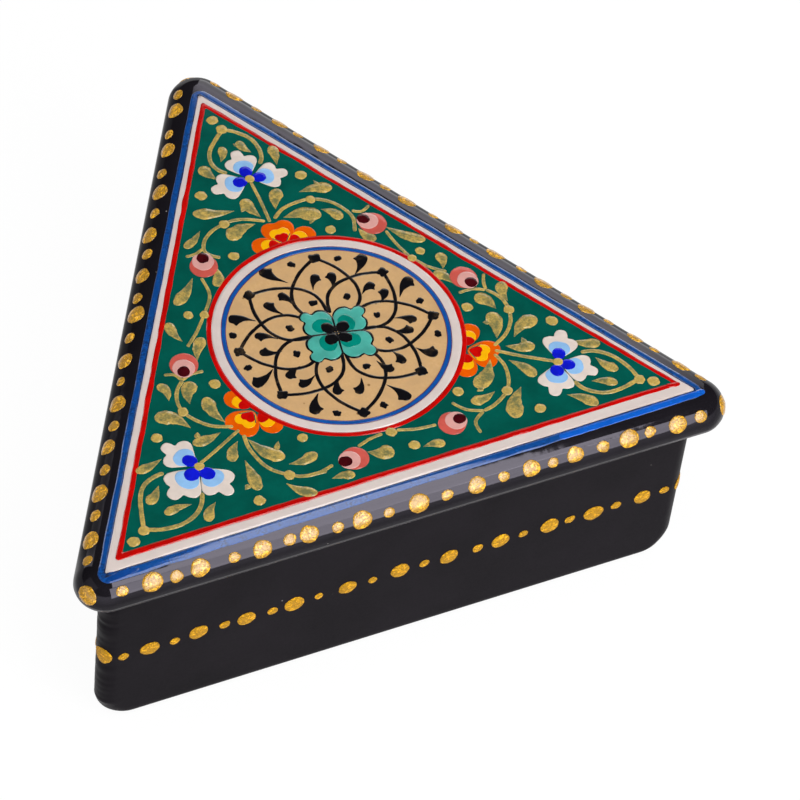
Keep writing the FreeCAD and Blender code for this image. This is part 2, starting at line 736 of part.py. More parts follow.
def make_gold_leaves():
    """Teardrop leaves scattered between the flowers, the buds and the stems."""
    body = new_body("gold_leaves")
    middle = middle_sketch(body)
    leaves = []
    for number, (place_turn, share, turn, length_share) in enumerate(LEAF_SHARES):
        leaves.append(brush(body, "Leaf%d" % number, on_the_way(place_turn, share), as_size(turn),
                            add_outline, size("leaf_length") * length_share, size("leaf_width"),
                            DROP_CORNER_SHARES, DROP_BULGE_SHARES))
    repeat(body, leaves, mirrored(middle), about(middle, FULL_TURN, SIDES))
    return body


def make_gold_spots():
    """Round spots beside the stems, at the tip of each loop and alone in each corner."""
    body = new_body("gold_spots")
    middle = middle_sketch(body)
    spots = [brush(body, "Spot%d" % number, on_the_way(*shares), NOTHING, add_circle,
                   size("spot_radius"))
             for number, shares in enumerate(SPOT_SHARES)]
    repeat(body, spots, mirrored(middle), about(middle, FULL_TURN, SIDES))
    single = [brush(body, "SingleSpot%d" % number, on_the_way(0, share), NOTHING, add_circle,
                    size("spot_radius"))
              for number, share in enumerate((LOOP_TIP_SHARE, LONE_SPOT_SHARE))]
    repeat(body, single, about(middle, FULL_TURN, SIDES))
    return body


# Domed gold dots: each is turned about the normal of its face, then cut by the face

DOME_SHARES = ((1.0, 0.12), (0.72, 0.66), (0.36, 1.0), (0.0, 1.0))
DOME_ROOT_SHARE = 0.9


def add_dome(body, name, place, turn, beside, radius, relief):
    """A hammered dome of two tiers and a flat crown, on a root that narrows inwards.
    Its half profile stands on the YZ plane."""
    sketch = body.newObject("Sketcher::SketchObject", name)
    sketch.AttachmentSupport = [(origin_feature(body, "YZ_Plane"), "")]
    sketch.MapMode = "FlatFace"
    bind(sketch, "AttachmentOffset.Base.x", place[0])
    bind(sketch, "AttachmentOffset.Base.y", place[1])
    bind(sketch, "AttachmentOffset.Base.z", beside)
    bind(sketch, "AttachmentOffset.Rotation.Angle", turn)
    root = -size("dot_root_depth")
    profile = [(radius * out, relief * up) for out, up in DOME_SHARES]
    profile += [(NOTHING, root), (radius * DOME_ROOT_SHARE, root)]
    for index, here in enumerate(profile):
        after = profile[(index + 1) % len(profile)]
        start = FreeCAD.Vector(here[0].value, here[1].value, 0)
        end = FreeCAD.Vector(after[0].value, after[1].value, 0)
        sketch.addGeometry(Part.LineSegment(start, end), False)
    for index, here in enumerate(profile):
        following = (index + 1) % len(profile)
        sketch.addConstraint(Sketcher.Constraint("Coincident", index, 2, following, 1))
        constrain(sketch, here[0], "DistanceX", -1, 1, index, 1)
        constrain(sketch, here[1], "DistanceY", -1, 1, index, 1)
    dome = body.newObject("PartDesign::Revolution", name + "Turned")
    dome.Profile = sketch
    dome.ReferenceAxis = (sketch, ["V_Axis"])
    dome.Angle = float(FULL_TURN)
    sketch.Visibility = False
    return dome


def make_dots(label, blank, radius, relief, row, places, lean):
    """One row round the box: a line of domes along the front side and one at each corner.
    The row is its length, its number of domes and the share of a step where it starts."""
    body = new_body(label + "_domes")
    row_length, count, start_share = row
    front_place, corner_place = places
    step = row_length / ROW_STEPS
    dome = add_dome(body, label + "_side", front_place, lean, step * start_share, radius, relief)
    line = ("LinearPattern", {"Direction": (origin_feature(body, "X_Axis"), [""]),
                              "Length": step * (count - 1), "Occurrences": count})
    repeat(body, [dome], line, round_box(body))
    if corner_place:
        corner = add_dome(body, label + "_corner", corner_place, -lean, NOTHING, radius, relief)
        repeat(body, [corner], round_box(body))
    return boolean("Cut", label, body, blank)


def make_dot_rows(carrier, blank, large_radius, row_length, front_place, corner_place, lean):
    """The large dots with those on the corners, and the small ones half a step between them."""
    large_row = (row_length, ROW_STEPS - 1, 1 - ROW_STEPS / 2)
    small_row = (row_length, ROW_STEPS, (1 - ROW_STEPS) / 2)
    return [
        make_dots(carrier + "_large_dots", blank, large_radius, size("large_dot_relief"),
                  large_row, (front_place, corner_place), lean),
        make_dots(carrier + "_small_dots", blank, size("small_dot_radius"), size("small_dot_relief"),
                  small_row, (front_place, None), lean),
    ]


def make_rim_dots(lid_blank):
    """Dots on the steep part of the rounded rim, on a line that leans out."""
    lean = size("rim_dot_angle")
    out = size("rim_round") * sine(lean)
    level = face_level - size("rim_round") + size("rim_round") * cosine(lean)
    front_place = (-(flat_apothem + out), level)
    corner_place = (flat_apothem * 2 - flat_corner_radius + out, level)
    return make_dot_rows("rim", lid_blank, size("rim_large_dot_radius"), rim_row_length,
                         front_place, corner_place, lean)


def make_wall_dots(base_blank):
    """Dots on the upright walls."""
    front_place = (-wall_apothem, size("wall_dot_height"))
    corner_place = (wall_apothem * 2 - size("wall_corner_radius"), size("wall_dot_height"))
    return make_dot_rows("wall", base_blank, size("wall_large_dot_radius"), wall_row_length,
                         front_place, corner_place, as_size(BACK_CORNER))


# Assembly, check and files

base_blank = make_base_blank()
lid_blank = make_lid_blank()
parts = [make_base_shell(), make_lid_shell(lid_blank), make_blue_line(lid_blank)]
parts += make_border_and_field()
parts += make_medallion_ground()
teal_flower = make_teal_flower()
parts += teal_flower
parts += [make_petal_lines(teal_flower[0]), make_medallion_tears()]
parts += make_corner_flowers()
parts += [make_rosettes()]
parts += make_buds()
parts += [make_gold_stems(), make_gold_leaves(), make_gold_spots()]
parts += make_rim_dots(lid_blank)
parts += make_wall_dots(base_blank)
document.recompute()

for item in document.Objects:
    if "Invalid" in item.State or "Error" in item.State:
        raise RuntimeError("%s did not build: %s" % (item.Label, item.State))
for item in parts:
    if item.Shape.isNull() or not item.Shape.isValid():
        raise RuntimeError(item.Label + " has no valid shape")

os.makedirs("parts", exist_ok=True)
for item in parts:
    item.Shape.exportStep("parts/%s.step" % item.Label)
    print("%-26s %3d solids %12.3f mm3" % (item.Label, len(item.Shape.Solids), item.Shape.Volume))
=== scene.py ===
"""A three-cornered papier mache box: a lacquered tray and cap, hand-painted flowers and raised gold dots."""

import math
import random

import bpy
from mathutils import Matrix, Vector, noise


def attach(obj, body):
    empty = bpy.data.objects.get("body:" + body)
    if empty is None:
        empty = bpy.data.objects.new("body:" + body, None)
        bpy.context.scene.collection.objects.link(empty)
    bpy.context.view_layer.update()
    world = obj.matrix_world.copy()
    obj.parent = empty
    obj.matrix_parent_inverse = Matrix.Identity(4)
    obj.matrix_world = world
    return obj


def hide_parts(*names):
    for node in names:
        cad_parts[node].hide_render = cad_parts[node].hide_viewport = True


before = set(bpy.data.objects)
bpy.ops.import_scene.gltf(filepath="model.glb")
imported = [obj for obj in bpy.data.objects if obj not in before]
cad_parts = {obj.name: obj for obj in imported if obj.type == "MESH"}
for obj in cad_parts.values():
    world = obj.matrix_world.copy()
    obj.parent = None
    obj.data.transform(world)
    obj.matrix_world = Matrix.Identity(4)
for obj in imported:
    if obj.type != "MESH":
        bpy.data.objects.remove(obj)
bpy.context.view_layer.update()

bl_info = {
    "name": "Painted papier mache box",
    "version": (1, 0, 0),
    "blender": (4, 5, 0),
    "location": "View3D > Sidebar > Papier Mache",
    "description": "Lays the painted ornament, lacquer and gold dots on a three-cornered box",
    "category": "Add Mesh",
}

MM = 0.001
SIDES = (-90.0, 30.0, 150.0)  # where the three sides face: front, right, left
CORNER_WAYS = (-30.0, 90.0, 210.0)  # where the three corners point: right, back, left
ROOT = -0.03  # how far a painted shape starts below the coat it lies on
LEAF_BELLY = 0.28  # where along a leaf it is widest


def linear(text):
    """An sRGB hex colour as linear red, green, blue."""
    values = [int(text[i : i + 2], 16) / 255 for i in (1, 3, 5)]
    return tuple(v / 12.92 if v <= 0.04045 else ((v + 0.055) / 1.055) ** 2.4 for v in values)


# --- the sizes and the pots of paint that a user would change


def length(label, text, default):
    """One size of the box: a length with its default in millimetres."""
    return bpy.props.FloatProperty(
        name=label, description=text, default=default * MM, unit="LENGTH", precision=5)


def pot(label, text, default):
    """One pot of paint: a colour with its default as an sRGB hex value."""
    return bpy.props.FloatVectorProperty(
        name=label, description=text, subtype="COLOR", size=3, min=0, max=1, default=linear(default))


class BOX_PG_sizes(bpy.types.PropertyGroup):
    """Sizes of the box, the same as those of its solids."""

    cap_apothem: length("Cap reach", "From the middle to the cap's widest line on a side", 34.641)
    cap_corner: length("Cap corner", "Radius of the cap's corners seen from above", 5.0)
    nose_radius: length("Edge roll", "Radius of the rolled edge round the cap", 4.25)
    cap_top: length("Top height", "Height of the cap's painted face", 41.0)
    rim_bottom: length("Rim bottom", "Height of the cap's lower edge", 35.3)
    mouth: length("Mouth height", "Height of the tray's mouth", 38.4)
    tray_apothem: length("Tray reach", "From the middle to a wall's outer face", 30.941)
    tray_corner: length("Tray corner", "Radius of the tray's upright corners", 2.6)
    wall: length("Wall", "Thickness of the tray's walls and floor", 3.0)
    disc_x: length("Medallion across", "Middle of the medallion, across", 0.8)
    disc_y: length("Medallion along", "Middle of the medallion, front to back", 1.2)
    disc_radius: length("Medallion radius", "Outer radius of the red ring", 21.15)
    dot_height: length("Gold dot height", "How far a large gold dot stands up", 0.20)


class BOX_PG_colours(bpy.types.PropertyGroup):
    """The pots of paint."""

    lacquer: pot("Black lacquer", "Lamp black under varnish", "#141216")
    wall_black: pot("Tray black", "The rubbed black of the tray's walls", "#110E12")
    emerald: pot("Emerald", "The cap's ground", "#014C42")
    scarlet: pot("Scarlet", "Lines and rings", "#B00603")
    chalk: pot("Chalk white", "Bands round field and medallion", "#C1B4AF")
    cobalt: pot("Cobalt", "Outer line and inner ring", "#0F4890")
    sand: pot("Sand gold", "The medallion's ground", "#BC986C")
    petal_white: pot("Petal white", "Corner flowers", "#C8BBB2")
    sky: pot("Sky blue", "Second coat of the corner flowers", "#7FA9D2")
    ultramarine: pot("Ultramarine", "Hearts of the corner flowers", "#0C16B6")
    orange: pot("Orange", "Rosettes", "#D25202")
    yellow: pot("Yellow", "Second coat of the rosettes", "#E4A406")
    coral: pot("Coral", "Rose buds", "#B85046")
    pink: pot("Pink", "Second coat of the rose buds", "#C49089")
    maroon: pot("Maroon", "Mouths of the rose buds", "#3A050B")
    teal: pot("Teal", "Medallion flower", "#449A8E")
    deep_teal: pot("Deep teal", "Second coat of the medallion flower", "#007668")
    ink: pot("Ink", "Brush lines of the medallion", "#0C0B0E")
    vine: pot("Vine gold", "Stems, leaves and spots", "#B2964E")
    leaf_gold: pot("Gold leaf paint", "The raised gold dots", "#C8941C")


def sizes():
    return bpy.context.scene.box_sizes


def colours():
    return bpy.context.scene.box_colours


def mm(name):
    """A size in millimetres."""
    return getattr(sizes(), name) / MM


# --- lines and outlines, in millimetres, seen from above


def turned(u, v, angle):
    """A place u along a direction and v to its left."""
    a = math.radians(angle)
    return (u * math.cos(a) - v * math.sin(a), u * math.sin(a) + v * math.cos(a))


def off(x, y, u, v, angle):
    """The same, counted from a point."""
    dx, dy = turned(u, v, angle)
    return (x + dx, y + dy)


def between(a, b, share):
    """The place that far from one point to another."""
    return (a[0] + (b[0] - a[0]) * share, a[1] + (b[1] - a[1]) * share)


def triangle(reaches, corner, per_side=64, per_corner=20):
    """A rounded triangle, anticlockwise. reaches: a side's distance, or (distance, how it lessens along the side)."""
    lines = []
    for facing, reach in zip(SIDES, reaches):
        distance, slope = reach if isinstance(reach, tuple) else (reach, 0.0)
        tilt = math.atan(slope)
        lines.append((math.radians(facing) + tilt, distance * math.cos(tilt) - corner))
    hubs = []
    for (a, da), (b, db) in zip(lines, lines[1:] + lines[:1]):
        det = math.sin(b - a)
        hubs.append(((da * math.sin(b) - db * math.sin(a)) / det, (db * math.cos(a) - da * math.cos(b)) / det))
    points = []
    for i in range(3):
        a, b = lines[i][0], lines[(i + 1) % 3][0]
        turn = (b - a) % (2 * math.pi)
        for k in range(per_corner):
            t = a + turn * k / (per_corner - 1)
            points.append((hubs[i][0] + corner * math.cos(t), hubs[i][1] + corner * math.sin(t)))
        nx, ny = hubs[(i + 1) % 3]
        end, start = (nx + corner * math.cos(b), ny + corner * math.sin(b)), points[-1]
        points += [between(start, end, k / per_side) for k in range(1, per_side)]
    return points


def circle(x, y, radius, count=150):
    return [(x + radius * math.cos(2 * math.pi * i / count), y + radius * math.sin(2 * math.pi * i / count))
            for i in range(count)]


def face_height(x, y):
    """Height of the cap's outer skin over a place: flat, then down the rolled edge."""
    roll = mm("nose_radius")
    flat, corner = mm("cap_apothem") - roll, mm("cap_corner") - roll
    best = max(x * math.cos(math.radians(a)) + y * math.sin(math.radians(a)) for a in SIDES) - flat
    for way in CORNER_WAYS:
        cx, cy = turned(2 * (flat - corner), 0, way)
        away = math.hypot(x - cx, y - cy)
        if (x - cx) * cx + (y - cy) * cy > 0.5 * away * math.hypot(cx, cy):
            best = away - corner
    drop = min(max(best, 0.0), roll * 0.98)
    return mm("cap_top") - roll + math.sqrt(roll * roll - drop * drop)


def smooth(points, steps, closed=False):
    """A smooth line through given points."""
    n, out = len(points), []
    for i in range(n if closed else n - 1):
        near = [(i + k - 1) % n if closed else max(0, min(n - 1, i + k - 1)) for k in range(4)]
        p = [points[k] for k in near]
        for t in (s / steps for s in range(steps)):
            out.append(tuple(
                0.5 * (2 * p[1][c] + (p[2][c] - p[0][c]) * t
                       + (2 * p[0][c] - 5 * p[1][c] + 4 * p[2][c] - p[3][c]) * t * t
                       + (3 * p[1][c] - p[0][c] - 3 * p[2][c] + p[3][c]) * t ** 3)
                for c in (0, 1)))
    return out if closed else out + [points[-1]]


def shaky(x, y, seed, scale=0.8):
    """A hand's unsteadiness at a place, between about -1 and 1."""
    return noise.noise(Vector((x * scale, y * scale, seed * 7.31)))


def unsteady(points, amount, seed, scale=0.16, other=11):
    """An outline drawn by a hand that drifts a little; the drift up and down has a seed further on."""
    return [(x + amount * shaky(x, y, seed, scale), y + amount * shaky(y, x, seed + other, scale))
            for x, y in points]


class Coat:
    """One coat of paint: small closed shapes gathered into one mesh, with how far along and across each of them is
    painted."""

    def __init__(self):
        self.points, self.faces, self.marks = [], [], []

    def stack(self, rings, marks, tip=None, foot=None, wrap=False):
        """Closed rings one over the other. They end below and above in a face, or in a fan round a hub given as
        (place, mark), or they wrap round so that the last meets the first."""
        start, n, count = len(self.points), len(rings[0]), len(rings)
        for ring, row in zip(rings, marks):
            self.points += ring
            self.marks += row
        for k in range(count if wrap else count - 1):
            a, b = start + k * n, start + (k + 1) % count * n
            self.faces += [(a + i, a + (i + 1) % n, b + (i + 1) % n, b + i) for i in range(n)]
        top = start + (count - 1) * n
        ends = () if wrap else ((foot, range(start + n - 1, start - 1, -1)), (tip, range(top, top + n)))
        for hub, loop in ends:
            if hub is None:
                self.faces.append(tuple(loop))
                continue
            last = len(self.points)
            self.points.append(hub[0])
            self.marks.append(hub[1])
            self.faces += [(loop[i], loop[(i + 1) % n], last) for i in range(n)]

    def blob(self, outline, lift, height, seed=0.0, middle=None):
        """A domed daub with that outline: it lies that far over the cap's face and is that thick."""
        n = len(outline)
        middle = middle or (sum(p[0] for p in outline) / n, sum(p[1] for p in outline) / n)
        rings, marks = [], []
        for scale, up in ((1.0, ROOT), (1.0, 0.25 * height), (0.93, 0.7 * height), (0.6, 0.95 * height)):
            ring = [between(middle, place, scale) for place in outline]
            rings.append([(x, y, face_height(x, y) + lift + up) for x, y in ring])
            marks.append([(1.0 - scale, i / n, seed) for i in range(n)])
        self.stack(rings, marks, ((*middle, face_height(*middle) + lift + height), (1.0, 0.0, seed)))

    def stroke(self, path, width, lift, height, shape="line", seed=0.0, steps=6):
        """A brush stroke along given points. A leaf is round where it starts and runs out to a point."""
        if len(path) == 2:
            path = [path[0], between(*path, 0.5), path[1]]
        line = smooth(path, steps)
        run = [0.0]
        for a, b in zip(line, line[1:]):
            run.append(run[-1] + math.dist(a, b))
        total = run[-1]
        cap = min(width / 2, total / 3)
        ends = (0.0, cap * 0.12, cap * 0.45)
        stops = [*ends, *(cap + (total - 2 * cap) * k / (len(line) - 1) for k in range(len(line)))]
        stops += [total - s for s in reversed(ends)]
        rings, marks = [], []
        for s in stops:
            k = max(i for i in range(len(run) - 1) if run[i] <= s + 1e-9)
            x, y = between(line[k], line[k + 1], (s - run[k]) / max(run[k + 1] - run[k], 1e-6))
            dx, dy = line[k + 1][0] - line[k][0], line[k + 1][1] - line[k][1]
            size = math.hypot(dx, dy) or 1.0
            t, end = s / total, min(s, total - s)
            if shape != "leaf":
                share = math.sqrt(max(0.03, 1 - (1 - end / cap) ** 2)) if end < cap else 1.0
            elif t < LEAF_BELLY:
                share = math.sqrt(max(0.02, 1 - ((LEAF_BELLY - t) / LEAF_BELLY) ** 2))
            else:
                share = max(0.06, 1.0 - ((t - LEAF_BELLY) / (1 - LEAF_BELLY)) ** 1.35)
            half = width / 2 * share * (1 + 0.13 * shaky(x, y, seed + 3, 1.1))
            left = 1 + 0.10 * shaky(x, y, seed, 1.6)
            ring = []
            for across, up in ((-1, ROOT), (-1, 0.2 * height), (-0.6, 0.8 * height), (0, height),
                               (0.6, 0.8 * height), (1, 0.2 * height), (1, ROOT)):
                w = half * across * (left if across < 0 else 2 - left)
                px, py = x + dy / size * w, y - dx / size * w
                ring.append((px, py, face_height(px, py) + lift + up * min(1.0, half / (width * 0.3))))
            rings.append(ring)
            marks.append([(t, across, seed) for across in (-1, -1, -0.6, 0, 0.6, 1, 1)])
        self.stack(rings, marks)

    def band(self, outer, inner, lift, height, seed=0.0, rows=5):
        """A painted band between two outlines with as many points each."""
        n, rings, marks = len(outer), [], []
        shares = [k / (rows - 1) for k in range(rows)]
        levels = [(0.0, -0.05), (0.0, 0.0)]
        levels += [(f, height * (0.4 + 0.6 * math.sin(math.pi * f))) for f in shares]
        levels += [(1.0, 0.0), (1.0, -0.05)]
        for f, up in levels:
            ring = [between(a, b, f) for a, b in zip(outer, inner)]
            rings.append([(x, y, face_height(x, y) + lift + up) for x, y in ring])
            marks.append([(i / n, f * 2 - 1, seed) for i in range(n)])
        self.stack(rings, marks, wrap=True)

    def sheet(self, outline, shares, lift, middle=(0.0, 0.0)):
        """A level ground on the flat of the cap, in rings that are shares of its outline."""
        n, z = len(outline), mm("cap_top") + lift
        rings, marks = [], []
        for f, up in ((shares[0], -0.1), *((share, 0.0) for share in shares)):
            rings.append([(*between(middle, place, f), z + up) for place in outline])
            marks.append([(f, i / n, 0.0) for i in range(n)])
        self.stack(rings, marks, ((*middle, z), (0.0, 0.0, 0.0)))

    def piece(self, name, material, slot, nodes=(), body="lid", flat=False):
        """The coat as an object of its own, standing for those solids."""
        mesh = bpy.data.meshes.new(name)
        mesh.from_pydata([(x * MM, y * MM, z * MM) for x, y, z in self.points], [], self.faces)
        mark = mesh.attributes.new("stroke", "FLOAT_VECTOR", "POINT")
        mark.data.foreach_set("vector", [c for m in self.marks for c in m])
        mesh.materials.append(material)
        if flat:
            mesh.shade_flat()
        else:
            mesh.shade_smooth()
        mesh.update()
        settle(bpy.data.objects.new(name, mesh), body, slot, nodes)

    def tempera(self, name, slot, nodes, label, colour, *brush, flat=False, **more):
        """The coat as a piece on the cap, in that brushed tempera. brush: how dark it pools, how light it thins, how
        coarse its grain is and how much its hairs show."""
        self.piece(name, brushed_paint(label, colour, *brush, **more), slot, nodes, flat=flat)


def settle(thing, body, slot, nodes):
    """Puts a finished piece in the scene, on its body, and hides the solids it stands for. Its slot is not used."""
    bpy.context.scene.collection.objects.link(thing)
    if not thing.data.polygons:
        raise RuntimeError(f"{thing.name} came out empty")
    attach(thing, body)
    if nodes:
        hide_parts(*nodes)


# --- finishes


def per_mm(size):
    """A texture scale whose features are that many millimetres apart."""
    return 1.0 / (size * MM)


def shade(colour, factor):
    """A colour made lighter or darker."""
    return tuple(min(1.0, c * factor) for c in colour)


class Nodes:
    """A node tree that is filled step by step. An input takes a value, an output or a node's first output."""

    def __init__(self, tree, place=None):
        self.tree = tree
        tree.nodes.clear()
        self.place = self.add("ShaderNodeTexCoord").outputs[place] if place else None

    def add(self, kind, links=None, **settings):
        """A new node with its settings and with what feeds its inputs."""
        made = self.tree.nodes.new(kind)
        for key, value in settings.items():
            setattr(made, key, value)
        for key, value in (links or {}).items():
            value = value.outputs[0] if isinstance(value, bpy.types.Node) else value
            if isinstance(value, bpy.types.NodeSocket):
                self.tree.links.new(value, made.inputs[key])
            else:
                made.inputs[key].default_value = value
        return made

    def maths(self, operation, *values):
        return self.add("ShaderNodeMath", dict(enumerate(values)), operation=operation).outputs[0]

    def vectors(self, operation, *values):
        made = self.add("ShaderNodeVectorMath", dict(enumerate(values)), operation=operation)
        return made.outputs["Value" if operation in ("LENGTH", "DOT_PRODUCT") else "Vector"]

    def scaled(self, vector, factor):
        return self.add("ShaderNodeVectorMath", {0: vector, "Scale": factor}, operation="SCALE").outputs[0]

    def span(self, value, low, high, to_low=0.0, to_high=1.0):
        """A value stretched from one span to another and held there."""
        return self.add("ShaderNodeMapRange", {0: value, 1: low, 2: high, 3: to_low, 4: to_high}).outputs[0]

    def blend(self, factor, a, b):
        """Two colours blended by a factor."""
        a, b = (c if isinstance(c, bpy.types.NodeSocket) else (*c[:3], 1.0) for c in (a, b))
        return self.add("ShaderNodeMix", {0: factor, 6: a, 7: b}, data_type="RGBA", clamp_factor=True).outputs[2]

    def noise(self, size, detail, **more):
        """Cloudy noise with features that many millimetres apart."""
        links = {"Vector": self.place} if self.place else {}
        return self.add("ShaderNodeTexNoise", {**links, "Scale": per_mm(size), "Detail": detail, **more}).outputs[0]

    def bump(self, height, strength, depth, **more):
        """Relief that many millimetres deep."""
        links = {"Height": height, "Strength": strength, "Distance": depth * MM, **more}
        return self.add("ShaderNodeBump", links).outputs[0]

    def specks(self, apart, near, far, strong, share, most=1.0):
        """Grit caught in the varnish, in some of the cells that many millimetres wide."""
        cells = self.add("ShaderNodeTexVoronoi", {"Vector": self.place, "Scale": per_mm(apart), "Randomness": 1.0})
        chosen = self.add("ShaderNodeSeparateColor", {0: cells.outputs["Color"]}).outputs[0]
        return self.maths("MULTIPLY", self.span(cells.outputs["Distance"], near, far, strong, 0.0),
                          self.span(chosen, share, share + 0.02, 0.0, most))

    def stroke(self):
        """The three marks that each point of a coat carries."""
        mark = self.add("ShaderNodeAttribute", attribute_name="stroke").outputs["Vector"]
        return self.add("ShaderNodeSeparateXYZ", {0: mark}).outputs

    def surface(self, links):
        """The shader of the material, wired to its output."""
        shader = self.add("ShaderNodeBsdfPrincipled", links)
        self.add("ShaderNodeOutputMaterial", {"Surface": shader})
        return shader

    def varnished(self, tone, relief, roughness=0.8, **more):
        """Matt paint under one even, hard coat of clear varnish. Returns the material."""
        self.surface({"Base Color": tone, "Roughness": roughness, "IOR": 1.42, "Specular IOR Level": 0.0,
                      "Coat Weight": 1.0, "Coat Roughness": 0.045, "Coat IOR": 1.42, "Normal": relief, **more})
        return self.material

    def skin(self):
        """The varnish's own slow waves, 6 mm long, which bend what it mirrors."""
        return self.bump(self.noise(6.0, 2.0), 0.25, 0.03)


def blank(name):
    """A new material's empty node tree."""
    material = bpy.data.materials.new(name)
    material.use_nodes = True
    nodes = Nodes(material.node_tree, "Object")
    nodes.material = material
    return nodes


def brushed_paint(name, colour, pooled=0.86, thin=1.08, grain=1.0, tooth=0.25, under=None, bare=0.0, speck=None):
    """Opaque tempera, brushed on by hand and varnished. It lies darker and lighter in patches, shows the hairs'
    streaks in its body, and the clear varnish over it gives one even, hard gloss."""
    nodes = blank(name)
    # patches 2.5 mm across where the load of paint in the brush changed
    patch = nodes.noise(2.5 * grain, 3.0)
    # hair streaks are 0.05 mm apart on the box and drawn 0.45 mm apart, so that they show
    streak = nodes.noise(0.45 * grain, 4.0, Roughness=0.65)
    tone = nodes.blend(nodes.span(patch, 0.35, 0.68), shade(colour, pooled), shade(colour, thin))
    tone = nodes.blend(nodes.span(streak, 0.3, 0.75, 0.0, tooth), tone, shade(colour, pooled * 0.86))
    if under is not None:
        load = nodes.maths("MULTIPLY", nodes.span(streak, 0.36, 0.6), nodes.span(patch, 0.42, 0.6))
        tone = nodes.blend(nodes.maths("MULTIPLY", load, bare), tone, under)
    if speck is not None:
        # grit 0.3 mm across in fewer than half of the cells 2.4 mm wide
        tone = nodes.blend(nodes.specks(2.4, 0.07, 0.13, 0.85, 0.55), tone, speck)
    return nodes.varnished(tone, nodes.bump(streak, 0.18, 0.03), **{"Coat Normal": nodes.skin()})


def dry_gold(name, bare):
    """Gold tempera dragged on with a half-dry brush under varnish. It is solid where the brush first touched, and
    thins out so that the green ground shows through between the hairs."""
    colour, under, nodes = colours().vine, colours().emerald, blank(name)
    along, across, seed = nodes.stroke()
    # each stroke has its own patchiness, so its seed moves the pattern; patches are 1.3 mm across
    moved = nodes.vectors("ADD", nodes.place, nodes.add("ShaderNodeCombineXYZ", {2: seed}).outputs[0])
    patch = nodes.noise(1.3, 3.0, Vector=moved, Roughness=0.6)
    # hairs 0.05 mm apart are drawn 0.32 mm apart, so that they show
    hair = nodes.noise(0.32, 3.0, Vector=moved)
    solid = nodes.maths("ADD", nodes.span(nodes.maths("ABSOLUTE", across), 0.35, 1.0, 0.0, 0.16),
                        nodes.span(along, 0.0, 0.5, 0.16, 0.0))
    load = nodes.maths("ADD", nodes.maths("ADD", patch, solid), nodes.span(hair, 0.3, 0.7, -0.07, 0.07))
    cover = nodes.span(load, 0.42, 0.76)
    tone = nodes.blend(nodes.span(hair, 0.35, 0.7), shade(colour, 0.84), shade(colour, 1.14))
    weak = nodes.blend(0.42, under, shade(colour, 0.7))
    tone = nodes.blend(nodes.span(cover, 0.0, 1.0, bare, 0.0), tone, weak)
    return nodes.varnished(tone, nodes.bump(load, 0.3, 0.05), 0.7, **{"Coat Normal": nodes.skin()})


def ink_line(name, colour, under):
    """Lamp black ground in gum, drawn with a fine brush: dense where the brush rests, grey where it runs dry."""
    nodes = blank(name)
    # dry stretches about 2.2 mm long
    patch = nodes.noise(2.2, 3.0)
    hair = nodes.noise(0.35, 3.0)
    dry = nodes.maths("MULTIPLY", nodes.span(patch, 0.56, 0.74, 0.0, 0.16), nodes.span(hair, 0.35, 0.6, 0.3, 1.0))
    return nodes.varnished(nodes.blend(dry, colour, shade(under, 0.45)), nodes.bump(hair, 0.2, 0.03))


def lamp_black(name, colour, roughness, ripple):
    """Lamp black in varnish over papier mache, dipped, rubbed down and dipped again. Deep black with a soft skin
    that dips a little where the paper under it does, and a few specks of dust caught in it."""
    nodes = blank(name)
    # dust 0.15 mm across, in a third or so of the cells 5 mm wide
    dust = nodes.specks(5.0, 0.016, 0.03, 1.0, 0.62, 0.8)
    tone = nodes.blend(nodes.span(nodes.noise(9.0, 4.0), 0.3, 0.7), shade(colour, 0.82), shade(colour, 1.2))
    tone = nodes.blend(dust, tone, linear("#8F8A88"))
    # painted highlight: where a point's first mark is set, on the cap's lower arris, the black is blended to grey, a
    # light line standing in for the light the arris catches
    tone = nodes.blend(nodes.stroke()[0], tone, linear("#5C565A"))
    # the paper's laps lift the skin in waves 11 mm long, brush marks in waves 2.6 mm long, and rubbing leaves a
    # grain 0.5 mm across
    grain = nodes.noise(0.5, 3.0)
    laps = nodes.bump(nodes.noise(11.0, 2.0), 0.5, 0.12)
    waves = nodes.bump(nodes.noise(2.6, 1.0), ripple, 0.04, Normal=laps)
    shader = nodes.surface({
        "Base Color": tone, "Roughness": nodes.span(grain, 0.3, 0.7, roughness * 0.85, roughness * 1.15),
        "IOR": 1.45, "Specular IOR Level": 0.05, "Specular Tint": (0.90, 0.84, 1.0, 1.0),
        "Normal": nodes.bump(grain, 0.1, 0.02, Normal=waves)})
    return nodes, shader


